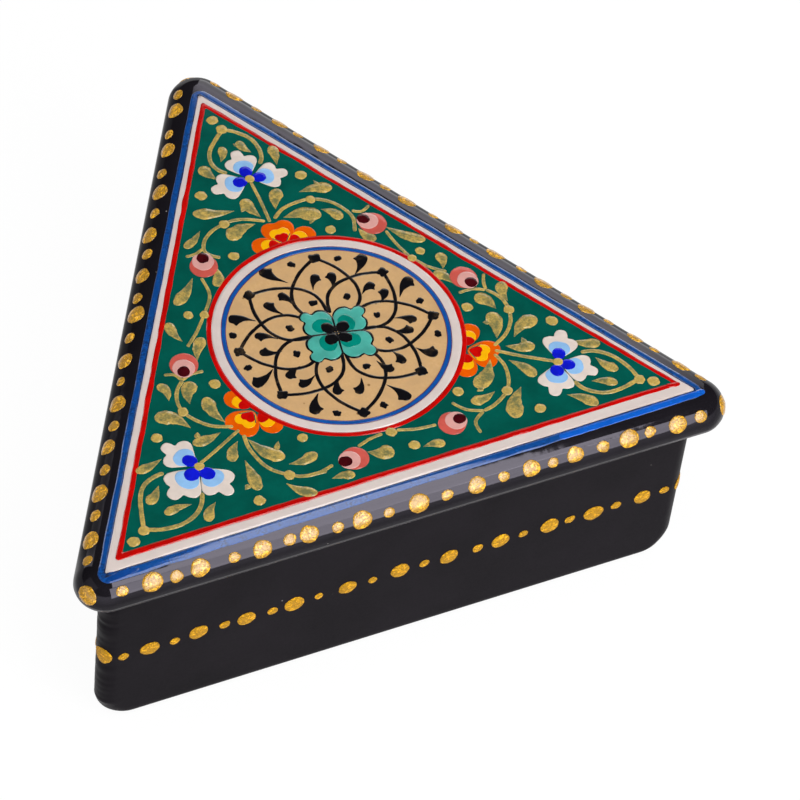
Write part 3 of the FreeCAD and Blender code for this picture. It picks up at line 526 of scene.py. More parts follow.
def raised_gold(name, varnish, stretch):
    """Bronze powder in thick size, dotted on and burnished by hand. Each dot is wrinkled where it dried, with painted
    shade in dark brown lines along the wrinkles' hollows, and a painted highlight and shade in patches much lighter
    and darker than the gold. On the cap the varnish runs over it too and mirrors the lamps."""
    colour, nodes = colours().leaf_gold, blank(name)
    # wrinkles 0.35 mm apart on the box, drawn 0.75 mm apart, so that they show; on the walls they lie level
    lying = nodes.vectors("MULTIPLY", nodes.place, (1.0, 1.0, stretch))
    crease = nodes.noise(0.75, 4.0, Vector=lying, Roughness=0.65, Distortion=1.2)
    fold = nodes.maths("ABSOLUTE", nodes.maths("SUBTRACT", crease, 0.5))
    # painted highlight and shade: across the wrinkle noise the gold runs from 0.6 to 1.65 times its colour, for the
    # bright and dark glints of burnished metal
    tone = nodes.blend(nodes.span(crease, 0.36, 0.64), shade(colour, 0.6), shade(colour, 1.65))
    # painted shade: dark brown lines where the wrinkles' hollows sink the bump
    line = nodes.maths("MULTIPLY", nodes.span(fold, 0.0, 0.05, 1.0, 0.0), 0.85)
    tone = nodes.blend(line, tone, linear("#54330A"))
    height = nodes.span(fold, 0.0, 0.12)
    # the varnish shows where it faces the lamps and where it is seen along its skin
    facing = nodes.add("ShaderNodeLayerWeight", {"Blend": 0.5}).outputs["Facing"]
    film = nodes.maths("MAXIMUM", nodes.span(facing, 0.15, 0.35, varnish, varnish * 0.1),
                       nodes.span(facing, 0.52, 0.66, 0.0, varnish * 0.8))
    nodes.surface({
        "Base Color": tone, "Metallic": 0.25, "Roughness": nodes.span(crease, 0.35, 0.7, 0.42, 0.58),
        "Specular Tint": (*linear("#D8A038"), 1.0), "Coat Weight": film, "Coat Roughness": 0.10, "Coat IOR": 1.8,
        "Normal": nodes.bump(height, 0.7, 0.08), "Coat Normal": nodes.bump(height, 0.4, 0.04)})
    return nodes.material


# --- the places of the ornament, in millimetres from the middle of the cap

# spots: middle and size; leaves: heel, tip, width and bow; barbs: heel and tip; flower: middle and petals (angle,
# size); rosette: middle, angle, its two flanks (turn, size) and its size
CORNERS = (
    {  # back corner
        "loop": [[(0.2, 49.0), (-1.6, 47.4), (-3.6, 45.2), (-4.35, 42.8), (-3.8, 40.8), (-2.7, 39.7)],
                 [(0.4, 49.0), (2.0, 48.0), (3.9, 45.8), (4.45, 43.4), (4.2, 41.3), (3.3, 39.8)]],
        "stems": [[(0.3, 36.6), (0.2, 32.0), (-0.1, 27.3)],
                  [(-0.8, 27.7), (-3.5, 29.1), (-5.6, 29.6), (-7.4, 29.4), (-9.6, 28.8), (-11.7, 27.3), (-12.7, 25.4),
                   (-12.3, 24.0), (-10.8, 22.8)],
                  [(-12.7, 25.6), (-14.4, 24.9), (-16.1, 24.9)],
                  [(0.9, 27.7), (2.9, 29.2), (5.6, 29.8), (8.2, 29.7), (10.7, 28.4), (12.4, 26.3), (13.3, 23.6),
                   (12.4, 20.6)],
                  [(13.7, 25.0), (15.2, 24.3), (16.9, 25.1)]],
        "spots": [(-0.5, 51.65, 1.95), (0.2, 49.2, 2.0), (-7.4, 29.35, 1.8), (8.2, 29.6, 1.7), (-8.7, 36.5, 2.0),
                  (8.8, 35.15, 2.0), (-8.6, 22.35, 1.8), (8.75, 22.3, 1.8)],
        "leaves": [(-1.5, 45.2, -2.7, 42.4, 1.7, -0.3), (1.8, 45.5, 2.9, 42.7, 1.7, 0.3),
                   (-6.2, 42.1, -4.9, 39.0, 2.2, 0.2), (6.5, 42.6, 5.9, 38.7, 1.9, -0.2),
                   (-11.0, 33.2, -4.8, 31.5, 2.3, 0.4), (-2.3, 33.0, -1.15, 28.8, 2.3, 0.3),
                   (3.8, 33.2, 1.9, 29.6, 2.3, 0.3), (12.2, 30.9, 7.1, 31.8, 2.3, 0.4),
                   (-15.3, 26.9, -11.8, 29.3, 1.6, 0.3), (-7.4, 26.1, -2.6, 27.7, 2.8, -0.7),
                   (7.9, 25.8, 2.4, 27.4, 2.9, 0.8), (11.2, 24.2, 9.0, 27.0, 2.0, 0.5)],
        "barbs": [(10.9, 31.4, 10.3, 33.4), (-3.0, 31.5, -3.7, 30.9), (7.0, 25.8, 6.0, 24.6), (1.2, 45.2, 0.8, 44.9)],
        "flower": (0.35, 37.2, ((90, 1.0), (184, 1.04), (-5, 0.98))),
        "rosette": (0.45, 21.9, 90, ((77, 1.0), (-77, 1.02)), 1.0),
    },
    {  # left corner
        "loop": [[(-43.2, -24.9), (-42.4, -21.9), (-41.4, -18.9), (-40.0, -16.9), (-37.9, -15.9), (-36.2, -15.7)],
                 [(-43.0, -25.1), (-40.5, -26.0), (-37.1, -26.1), (-34.4, -25.0), (-32.8, -23.3), (-32.0, -21.4)]],
        "stems": [[(-22.3, -10.8), (-25.3, -9.6), (-27.4, -7.6), (-28.7, -5.3), (-28.8, -3.1), (-28.0, -0.9),
                  (-26.4, 0.7)],
                  [(-26.4, 0.8), (-24.6, 1.5), (-22.5, 1.4)], [(-26.5, 0.9), (-27.2, 2.3), (-28.8, 2.8)],
                  [(-30.0, -15.9), (-26.7, -14.3), (-21.7, -11.7)],
                  [(-21.4, -12.9), (-21.6, -16.0), (-20.4, -20.2), (-17.8, -22.8), (-15.2, -24.0), (-11.8, -24.2)]],
        "spots": [(-45.6, -26.7, 2.1), (-43.3, -25.2, 1.9), (-28.7, -5.3, 1.8), (-17.7, -22.9, 1.9),
                  (-34.6, -8.8, 1.9), (-21.75, -1.7, 1.9), (-24.1, -26.0, 2.0), (-12.8, -16.7, 1.8)],
        "leaves": [(-40.6, -20.3, -37.9, -17.8, 1.8, 0.3), (-38.7, -23.3, -34.4, -23.0, 1.7, -0.3),
                   (-39.9, -14.0, -35.5, -13.0, 1.7, 0.2), (-32.9, -26.8, -30.7, -23.9, 1.8, -0.4),
                   (-33.0, -5.2, -28.8, -8.7, 2.8, -0.9), (-24.1, -4.2, -23.25, -9.5, 2.4, 0.6),
                   (-25.3, -0.5, -27.1, -4.1, 2.6, 0.5), (-30.4, 0.9, -30.0, -2.4, 1.9, -0.6),
                   (-20.2, 7.6, -22.6, 3.8, 2.1, 0.4), (-29.3, -11.8, -24.7, -11.2, 2.0, 0.3),
                   (-24.9, -17.0, -22.8, -13.8, 2.0, -0.4), (-17.3, -19.0, -21.1, -14.0, 2.6, -0.7),
                   (-23.4, -23.6, -23.2, -17.8, 2.2, 0.1), (-15.2, -27.5, -18.8, -24.3, 2.0, -0.5),
                   (-12.3, -20.3, -16.9, -20.9, 2.0, -0.5)],
        "barbs": [(-28.6, -11.0, -28.1, -9.9), (-17.6, -17.4, -16.7, -16.0), (-24.4, -22.6, -25.4, -23.2)],
        "flower": (-30.45, -16.45, ((123, 1.07), (213, 1.18), (292, 1.1))),
        "rosette": (-18.0, -8.9, 215, ((-94, 0.98), (80, 1.02)), 1.03),
    },
    {  # right corner
        "loop": [[(43.4, -24.2), (42.9, -21.4), (41.4, -18.4), (39.1, -16.4), (36.8, -15.9)],
                 [(43.3, -24.2), (40.8, -24.9), (37.7, -25.1), (35.4, -24.2), (33.8, -22.6), (33.3, -21.0)]],
        "stems": [[(24.0, -9.8), (26.8, -8.2), (28.7, -6.0), (29.5, -3.6), (29.5, -1.5), (28.8, 0.2), (27.7, 1.6)],
                  [(27.6, 1.6), (25.6, 2.5), (23.2, 2.5)], [(27.7, 1.7), (28.1, 3.4), (28.8, 4.9)],
                  [(23.7, -10.7), (26.9, -13.0), (30.4, -15.2), (32.2, -16.3)],
                  [(23.3, -11.4), (23.9, -14.1), (23.3, -17.0), (22.1, -19.1), (20.8, -20.1), (18.7, -21.2),
                   (16.8, -21.6)],
                  [(16.8, -21.6), (14.2, -20.4), (12.6, -18.3)], [(16.7, -21.7), (14.6, -23.2), (14.5, -25.6)]],
        "spots": [(45.4, -25.5, 2.0), (43.4, -24.4, 1.9), (29.5, -3.6, 1.8), (22.1, -19.1, 1.8), (35.15, -8.2, 2.0),
                  (23.25, -0.8, 1.9), (14.5, -16.5, 1.9), (25.6, -24.3, 1.9)],
        "leaves": [(40.8, -21.0, 38.6, -17.7, 1.9, -0.3), (39.4, -23.7, 35.9, -22.0, 1.7, 0.3),
                   (40.3, -15.0, 36.2, -13.2, 2.0, -0.3), (32.6, -7.0, 27.9, -9.2, 2.7, 0.8),
                   (26.2, -3.6, 25.1, -8.5, 2.7, -0.5), (25.7, 0.6, 27.6, -2.7, 2.6, -0.4),
                   (30.9, 1.9, 30.1, -1.8, 2.0, 0.5), (21.3, 7.6, 23.2, 4.7, 2.1, -0.4),
                   (29.9, -11.8, 25.8, -10.5, 2.2, -0.4), (27.5, -17.6, 25.0, -13.4, 2.1, 0.4),
                   (18.0, -16.4, 22.2, -12.2, 2.8, 0.7), (16.0, -19.2, 20.1, -18.6, 2.0, 0.4),
                   (21.4, -24.3, 24.5, -19.2, 2.8, -0.6), (34.5, -26.5, 30.9, -23.2, 2.1, 0.4)],
        "barbs": [(29.0, -11.0, 29.0, -9.7), (18.6, -17.2, 17.4, -17.6), (25.3, -5.0, 24.3, -4.6)],
        "flower": (32.4, -16.5, ((60, 1.02), (241, 1.06), (321, 1.0))),
        "rosette": (19.5, -9.0, -36, ((96, 0.98), (-80, 1.02)), 1.03),
    },
)
BUDS = (  # middle, size, place of the mouth
    (-14.1, 22.0, 2.4, -13.6, 23.75), (15.9, 21.2, 2.35, 14.7, 22.75), (-25.0, 3.7, 2.4, -25.55, 2.25),
    (25.3, 5.3, 2.3, 26.1, 3.75), (-6.6, -23.4, 2.3, -8.4, -23.5), (10.9, -22.2, 2.35, 12.5, -21.75))
SIDE_GROUP = {  # between the corners
    "loop": [],
    "stems": [[(2.0, -20.4), (5.0, -21.3), (8.4, -21.6)], [(-0.5, -20.3), (-2.8, -20.6), (-5.2, -21.4)],
              [(-15.4, 19.8), (-15.5, 15.9), (-17.8, 12.5)], [(-18.3, 11.9), (-20.4, 9.4), (-23.0, 7.0)],
              [(17.3, 19.0), (17.8, 15.8), (18.8, 12.4)], [(19.3, 11.5), (20.9, 9.3), (23.2, 7.4)],
              [(-15.2, -24.0), (-12.6, -24.0), (-10.4, -23.4)]],
    "spots": [(1.0, -20.5, 1.9), (3.4, -24.2, 1.9), (-17.9, 12.3, 1.6), (-20.4, 13.1, 1.7), (19.0, 12.0, 1.5),
              (20.9, 13.0, 1.6)],
    "leaves": [(-0.6, -23.9, -4.2, -22.9, 2.7, -0.4), (7.9, -25.5, 4.6, -25.0, 1.7, 0.3),
               (-8.2, -26.4, -11.6, -25.9, 1.7, 0.3), (-21.3, 16.2, -16.8, 20.2, 2.1, 0.4),
               (-13.6, 17.6, -12.3, 21.3, 2.0, 0.4), (-24.1, 12.4, -23.4, 8.3, 1.9, 0.4),
               (22.4, 15.2, 17.6, 19.8, 2.1, -0.4), (14.7, 18.0, 13.2, 21.0, 2.0, -0.3),
               (23.4, 11.2, 22.9, 8.2, 1.9, -0.4)],
    "barbs": [],
}
HUB = (0.9, 1.45)  # middle of the tracery
SAND_RADIUS = 18.6
TRACERY_TIPS = ((3.8, 17.5), (13.2, 10.9), (17.2, -0.5), (10.7, -10.7), (-1.6, -15.3), (-12.4, -7.5), (-15.5, 3.2),
                (-9.5, 13.7))
TRACERY_LINE = ((1.0, 0.0), (0.9, 0.125), (0.79, 0.225), (0.61, 0.325), (0.435, 0.34), (0.31, 0.285), (0.2, 0.19))
TRACERY_WIDE = {(1, -1): 1.14, (2, 1): 0.87, (4, -1): 0.93}  # petal and side that the hand drew wider or narrower
INNER_TEARS = (  # head and tip
    (2.2, 13.5, 0.9, 11.2), (4.9, 13.0, 3.9, 10.3), (10.1, 8.9, 8.1, 7.6), (11.7, 6.8, 10.2, 4.9),
    (13.7, 0.0, 11.0, 1.1), (12.3, -2.0, 9.7, -1.2), (8.6, -7.4, 7.8, -5.1), (6.0, -8.4, 4.7, -6.2),
    (-3.8, -9.8, -2.5, -7.4), (-0.4, -10.9, 0.9, -8.6), (-9.7, -4.2, -7.4, -3.0), (-8.4, -6.6, -5.9, -5.5),
    (-11.2, 5.1, -8.6, 3.5), (-11.8, 1.6, -9.0, 0.9), (-7.4, 10.6, -5.6, 7.8), (-4.4, 11.7, -3.4, 9.1))
OUTER_TEARS = (
    (-5.2, 17.3, -2.5, 14.1), (11.1, 14.7, 8.7, 12.0), (16.3, 7.7, 13.7, 5.0), (13.9, -7.7, 11.8, -5.8),
    (6.1, -14.5, 4.2, -11.4), (-8.7, -12.1, -6.9, -9.2), (-15.2, -3.9, -11.9, -2.1), (-13.7, 9.8, -10.5, 8.2))
INNER_SPURS = (1, -1, 1, -1, 1, -1, 1, -1, -1, 1, -1, 1, -1, 1, 1, -1)  # which side each drop's spur is on
OUTER_SPURS = (1, -1, 1, -1, 1, -1, 1, -1)
EYES = ((-0.2, 8.6), (5.5, 8.0), (8.65, 2.7), (8.4, -2.8), (2.7, -6.7), (-3.2, -5.2), (-6.9, -0.4), (-5.9, 5.0),
        (-0.4, 17.5), (7.3, 16.1), (16.5, 3.1), (16.4, -4.3), (2.1, -15.0), (-5.7, -14.0), (-15.5, -0.4),
        (-15.2, 6.7))
BORDER = {  # reach of each side from the middle, and how it drifts along the side: front, right, left
    "blue": ((31.75, 0.015), (30.2, 0.008), (30.62, -0.003)),
    "white": ((30.35, 0.014), (29.2, 0.009), (29.6, -0.003)),
    "red": ((28.42, 0.0165), (28.3, 0.0135), (28.56, 0.002)),
    "field": ((27.42, 0.013), (27.6, 0.0135), (27.7, 0.002)),
}
WHITE_PETAL = ((0.5, 0.0), (1.25, 0.85), (2.4, 1.95), (3.5, 2.75), (4.5, 2.7), (5.05, 1.9), (5.15, 1.12), (5.8, 1.0),
               (6.5, 0.72), (6.75, 0.0))
SKY_PETAL = ((0.8, 0.0), (1.5, 1.0), (2.5, 1.72), (3.4, 1.6), (4.05, 0.95), (4.25, 0.0))
ROSETTE_TOP = ((0.1, 0.0), (0.9, 1.35), (2.2, 2.45), (3.7, 2.8), (4.8, 2.2), (5.15, 1.1), (4.85, 0.0))
ROSETTE_SIDE = ((0.9, 0.0), (1.7, 0.85), (3.1, 1.7), (4.5, 1.7), (5.4, 0.95), (5.65, 0.0))
TEAL_PETAL = ((0.5, 0.0), (1.1, 1.15), (2.5, 2.5), (4.1, 2.85), (5.2, 2.1), (5.5, 1.1), (6.3, 0.98), (6.9, 0.55),
              (7.0, 0.0))
# the front's dots, large and small, by their place along the side
RIM_FRONT = ((-45.2, -37.2, -26.7, -18.7, -9.7, 0.1, 10.3, 19.8, 27.6, 37.3, 46.0),
             (-50.2, -41.2, -31.5, -22.0, -13.9, -5.0, 5.0, 15.0, 23.6, 32.6, 41.1, 50.2))
WALL_FRONT = ((-43.7, -35.3, -27.0, -18.6, -9.3, 0.0, 8.8, 18.0, 27.0, 35.0, 44.0),
              (-48.2, -39.4, -30.8, -22.5, -14.4, -4.9, 4.3, 13.9, 22.2, 30.7, 39.1, 48.1))
WALL_DOT_HEIGHT = 17.4
RIM_PITCH, WALL_PITCH = 9.1667, 8.798  # large dot to large dot on the sides that the photo hides
RIM_TILTS = (54, 36, 37)  # how far each side's dots lean out from straight up, in degrees
CORNER_TILT = 70
STEM_WIDTH, LOOP_WIDTH, TWIG_WIDTH, INK_WIDTH = 0.62, 0.72, 0.55, 0.60
VINE_LIFT, INK_LIFT = 0.03, 0.045  # over the cap's face, so that each coat lies on the one below
KNOB_RADIUS, EYE_RADIUS = 0.98, 0.72
LAYERS = {  # how far over the cap's face a coat lies, and how thick it is
    "white petal": (0.05, 0.035), "sky petal": (0.083, 0.012), "blue heart": (0.096, 0.025), "button": (0.105, 0.05),
    "bud": (0.06, 0.035), "bud shade": (0.09, 0.015), "bud mouth": (0.102, 0.02), "spot": (0.045, 0.06),
    "red border": (0.03, 0.007), "white border": (0.014, 0.005), "blue border": (0.02, 0.010),
    "indigo line": (0.05, 0.006), "chip": (0.08, 0.004), "puddle": (0.04, 0.006), "second load": (0.045, 0.006),
    "seam": (0.032, 0.006), "ring hairline": (0.066, 0.003), "ink knob": (0.05, 0.018), "ink eye": (0.05, 0.016),
    "ink outline": (0.055, 0.01), "teal petal": (0.068, 0.03), "teal shade": (0.098, 0.01),
    "ink heart": (0.11, 0.02), "ink vein": (0.105, 0.02),
}
DOT_MARKS = ("facing", "lying", "spread", "curl")


def petal(half, x, y, angle, size=1.0, seed=0.0, widen=1.0):
    """A petal's outline from one half of it, laid out from its foot along an angle."""
    whole = [*half, *((u, -v) for u, v in reversed(half[1:-1]))]
    places = [off(x, y, u * size, v * size * widen, angle) for u, v in whole]
    return smooth(unsteady(places, 0.09 * size, seed, 0.8, 5), 4, closed=True)[::-1]


def inner_petal(half, start, foot, along, across):
    """The half of a smaller petal inside another."""
    return [(foot + (u - start) * along, v * across) for u, v in half]


# the orange, yellow and scarlet coats of a rosette's side and top petals: outline, lift
ROSETTE_SIDES = ((ROSETTE_SIDE, 0.010), (inner_petal(ROSETTE_SIDE, 0.9, 0.9, 0.68, 0.7), 0.020),
                 (inner_petal(ROSETTE_SIDE, 0.9, 0.9, 0.4, 0.58), 0.026))
ROSETTE_TOPS = ((ROSETTE_TOP, 0.013), (inner_petal(ROSETTE_TOP, 0.5, 0.5, 0.66, 0.62), 0.023),
                (inner_petal(ROSETTE_TOP, 0.5, 0.45, 0.42, 0.42), 0.030))


def roundel(x, y, radius, seed, count, squash=1.0, angle=0.0, rough=0.1, square=0.0):
    """A hand-dotted round outline."""
    out = []
    for t in (math.radians(360 * i / count) for i in range(count)):
        uneven = shaky(math.cos(t) * 2, math.sin(t) * 2, seed + x + y, 0.9)
        r = radius * (1 + rough * uneven - square * math.cos(4 * t))
        out.append(off(x, y, r * math.cos(t), r * squash * math.sin(t), angle))
    return out


def teardrop(hx, hy, tx, ty, r, spur, seed):
    """A drop: round at the head, drawn out to a point, with a spur where the brush was lifted sideways."""
    long, angle = math.hypot(tx - hx, ty - hy), math.degrees(math.atan2(ty - hy, tx - hx))
    outline = (
        (-r, 0.1 * r), (-0.75 * r, -0.7 * r), (0.1 * r, -r), (0.35 * long, -0.92 * r), (0.66 * long, -0.52 * r),
        (1.04 * long, 0.0), (0.70 * long, 0.04 * r), (0.45 * long, 0.32 * r), (0.24 * long, 0.8 * r),
        (0.13 * long, 1.4 * r), (-0.1 * r, 1.0 * r), (-0.7 * r, 0.75 * r))
    places = [off(hx, hy, u, v * spur, angle) for u, v in outline]
    return smooth(unsteady(places, 0.08, seed, 1.2, 0), 3, closed=True)[::spur]


def border_line(key, shift, corner, per_side, per_corner, amount, seed, scale=0.16):
    """One edge of the border as the hand drew it, that far outside the named line."""
    reaches = [(reach + shift, drift) for reach, drift in BORDER[key]]
    return unsteady(triangle(reaches, corner, per_side, per_corner), amount, seed, scale)


def loft(levels, per_side=64, per_corner=20):
    """A closed shell through rounded triangles, each (reach, corner radius, height, and, if given, how strongly a
    painted highlight greys it).
    The levels run from the middle of the upper face outwards and down."""
    rings, marks = [], []
    for reach, corner, z, *painted_highlight in reversed(levels):
        rings.append([(x, y, z) for x, y in triangle((reach,) * 3, corner, per_side, per_corner)])
        marks.append([(sum(painted_highlight), 0.0, 0.0)] * len(rings[-1]))
    tip, foot = (((0.0, 0.0, level[2]), (0.0, 0.0, 0.0)) for level in (levels[0], levels[-1]))
    coat = Coat()
    coat.stack(rings, marks, tip, foot)
    return coat


def bend(reach, corner, z, radius, start, end, steps):
    """Levels of a rounded edge about a hub: angles are from straight up, outwards."""
    turns = [math.radians(start + (end - start) * k / steps) for k in range(steps + 1)]
    return [(reach + radius * math.sin(t), corner + radius * math.sin(t), z + radius * math.cos(t)) for t in turns]


def ramp(value, start, length):
    """How far a value has come along a stretch, from 0 to 1."""
    return min(1.0, max(0.0, (value - start) / length))


# --- operators

CAMERA_PLACE = (-209.2, -395.4, 574.57)
CAMERA_TURN = (2.4304, -0.4748, 0.2779)  # axis, as long as the turn in radians
CAMERA_LENS = 193.052
FLOOR_RADIUS = 12.0
ALONG = (1.0, 0.0, 0.0)
# name, upper edge, lower edge, which way it is wide, width in metres, brightness where white is 1, if it mirrors.
# The first four are joined edge to edge over the front: together they are the grey band on the cap's roll, and they
# stop short of the right corner, where the roll goes black.
LAMPS = (
    ("ceiling_panel", (0.290, 0.38, 0.95), (0.258, -0.02, 0.95), ALONG, 0.115, 6.6, True),
    ("upper_panel", (0.258, -0.02, 0.95), (0.158, -0.2865, 0.527), ALONG, 0.125, 6.6, True),
    ("middle_panel", (0.148, -0.2865, 0.527), (0.110, -0.393, 0.358), ALONG, 0.20, 6.6, True),
    ("front_panel", (0.10, -0.393, 0.358), (0.10, -0.601, 0.028), ALONG, 0.34, 5.4, True),
    ("key_softbox", (-0.053, -0.038, 1.164), (-0.647, -0.462, 0.836), (0.581, -0.814, 0.0), 0.8, 3.45, False),
    ("back_card", (0.367, 0.50, 0.668), (0.513, 0.70, 0.012), (0.806, -0.592, 0.0), 0.34, 2.0, True),
    ("corner_card", (-0.24, 0.75, 0.62), (-0.40, 0.75, 0.12), ALONG, 0.10, 4.0, True),
    ("left_fill", (-0.78, -0.10, 0.856), (-1.12, -0.10, 0.244), (0.0, 1.0, 0.0), 0.9, 0.35, True))


class BOX_OT_studio(bpy.types.Operator):
    """Sets the camera, the pale floor and the soft lamps"""

    bl_idname = "box.studio"
    bl_label = "Studio"

    def execute(self, context):
        scene = context.scene
        scene.view_settings.view_transform = "Standard"
        camera = bpy.data.objects.new("camera", bpy.data.cameras.new("camera"))
        turn = Matrix.Rotation(math.hypot(*CAMERA_TURN), 3, Vector(CAMERA_TURN))
        camera.matrix_world = self.placed(turn[0], -turn[1], -turn[2], Vector(CAMERA_PLACE) * MM)
        camera.data.lens, camera.data.sensor_width = CAMERA_LENS, 36.0
        camera.data.clip_start, camera.data.clip_end = 0.01, 100.0
        scene.collection.objects.link(camera)
        scene.camera = camera
        self.floor(scene)
        self.sky(scene)
        for row in LAMPS:
            self.lamp(scene, *row)
        return {"FINISHED"}

    def placed(self, x, y, z, middle):
        """A matrix from three directions and a place."""
        place = Matrix((x, y, z)).transposed().to_4x4()
        place.translation = middle
        return place

    def lamp(self, scene, name, top, foot, across, wide, radiance, mirrored):
        """A soft panel hung from one edge down to another."""
        up, middle = Vector(top) - Vector(foot), (Vector(top) + Vector(foot)) / 2
        data = bpy.data.lights.new(name, "AREA")
        data.shape = "RECTANGLE"
        data.size, data.size_y = wide, up.length
        data.energy = radiance * wide * up.length * math.pi
        up.normalize()
        side = (Vector(across) - up * Vector(across).dot(up)).normalized()
        back = side.cross(up)
        if back.dot(middle) < 0:
            side, back = -side, -back
        thing = bpy.data.objects.new(name, data)
        thing.matrix_world = self.placed(side, up, back, middle)
        thing.visible_camera = False
        thing.visible_glossy = mirrored
        scene.collection.objects.link(thing)

    def floor(self, scene):
        """White paper, matt, that the lens sees as white and that keeps a breath of the box's shadow."""
        mesh = bpy.data.meshes.new("paper_floor")
        mesh.from_pydata([(x, y, 0.0) for x, y in circle(0.0, 0.0, FLOOR_RADIUS, 48)], [], [tuple(range(48))])
        nodes = blank("White paper, matt")
        rays = nodes.add("ShaderNodeLightPath").outputs
        seen = nodes.maths("MAXIMUM", rays["Is Camera Ray"], rays["Is Glossy Ray"])
        seen = nodes.maths("MAXIMUM", seen, rays["Is Transmission Ray"])
        away = nodes.vectors("LENGTH", nodes.place)
        share = nodes.maths("MULTIPLY", seen, nodes.span(away, 0.10, 0.30, 0.95, 1.0))
        # fibres 1.5 mm long in the paper
        tone = nodes.blend(nodes.noise(1.5, 2.0), linear("#F7F7F7"), linear("#FCFCFC"))
        matt = nodes.add("ShaderNodeBsdfDiffuse", {"Color": tone})
        glow = nodes.add("ShaderNodeEmission", {"Color": (1.0, 1.0, 1.0, 1.0), "Strength": 1.0})
        both = nodes.add("ShaderNodeMixShader", {0: share, 1: matt, 2: glow})
        nodes.add("ShaderNodeOutputMaterial", {"Surface": both})
        mesh.materials.append(nodes.material)
        thing = bpy.data.objects.new("paper_floor", mesh)
        scene.collection.objects.link(thing)

    def sky(self, scene):
        """A dark room whose white paper sweep shows as a low bright rim all round."""
        world = bpy.data.worlds.new("studio_room")
        world.use_nodes = True
        nodes = Nodes(world.node_tree, "Generated")
        height = nodes.add("ShaderNodeSeparateXYZ", {0: nodes.place}).outputs[2]
        level = nodes.span(height, 0.10, 0.20, 1.0, 0.035)
        back = nodes.add("ShaderNodeBackground", {"Color": (1.0, 1.0, 1.0, 1.0), "Strength": level})
        nodes.add("ShaderNodeOutputWorld", {"Surface": back})
        scene.world = world


class BOX_OT_tray(bpy.types.Operator):
    """Makes the black tray: walls, rounded foot, floor and soft mouth"""

    bl_idname = "box.tray"
    bl_label = "Tray"

    def execute(self, context):
        reach, corner, wall, mouth = mm("tray_apothem"), mm("tray_corner"), mm("wall"), mm("mouth")
        foot, lip, fillet = 2.0, 0.8, 1.6
        inner, inner_corner, rise = reach - wall, 2.2, mouth - lip
        levels = [(inner - fillet - 12.0, 0.3, wall), (inner - fillet - 2.0, 0.4, wall)]
        levels += bend(inner - fillet, inner_corner - fillet, wall + fillet, fillet, 180, 90, 6)
        levels += [(inner, inner_corner, wall + fillet + (rise - wall - fillet) * k / 6) for k in range(1, 6)]
        levels += bend(inner + lip, inner_corner + lip, rise, lip, -90, 0, 6)
        levels += bend(reach - lip, corner - lip, rise, lip, 0, 90, 6)
        outside = [(reach, corner, rise - (rise - foot) * k / 72) for k in range(1, 72)]
        outside += bend(reach - foot, corner - foot, foot, foot, 90, 180, 10)
        # the corners are rounder near the foot, where the box is handled
        levels += [(r, c + 2.6 * max(0.0, 1.0 - z / 6.0) ** 2, z) for r, c, z in outside]
        levels.append((reach - foot - 8.0, 0.4, 0.0))
        nodes, shader = lamp_black("Lamp black lacquer on papier mache, rubbed satin", colours().wall_black, 0.4, 0.3)
        tray = loft(levels)
        left = CORNER_WAYS[2]
        edge = turned(2 * (reach - corner) + corner, 0, left)
        around, depth, lowest, highest = 3.5, 0.22, 1.0, 34.0
        for k, (x, y, z) in enumerate(tray.points):
            # the sandpaper's turns stand in the left corner, about 1 mm apart
            near = max(0.0, 1.0 - math.dist((x, y), edge) / around)
            if near and lowest < z < highest:
                tray.points[k] = (*off(x, y, depth * near * shaky(z, 0.0, 5.0, 1.1), 0, left), z)
        tray.piece("tray_body", nodes.material, "black_lacquer_base", ["base_shell"], "base")
        return {"FINISHED"}


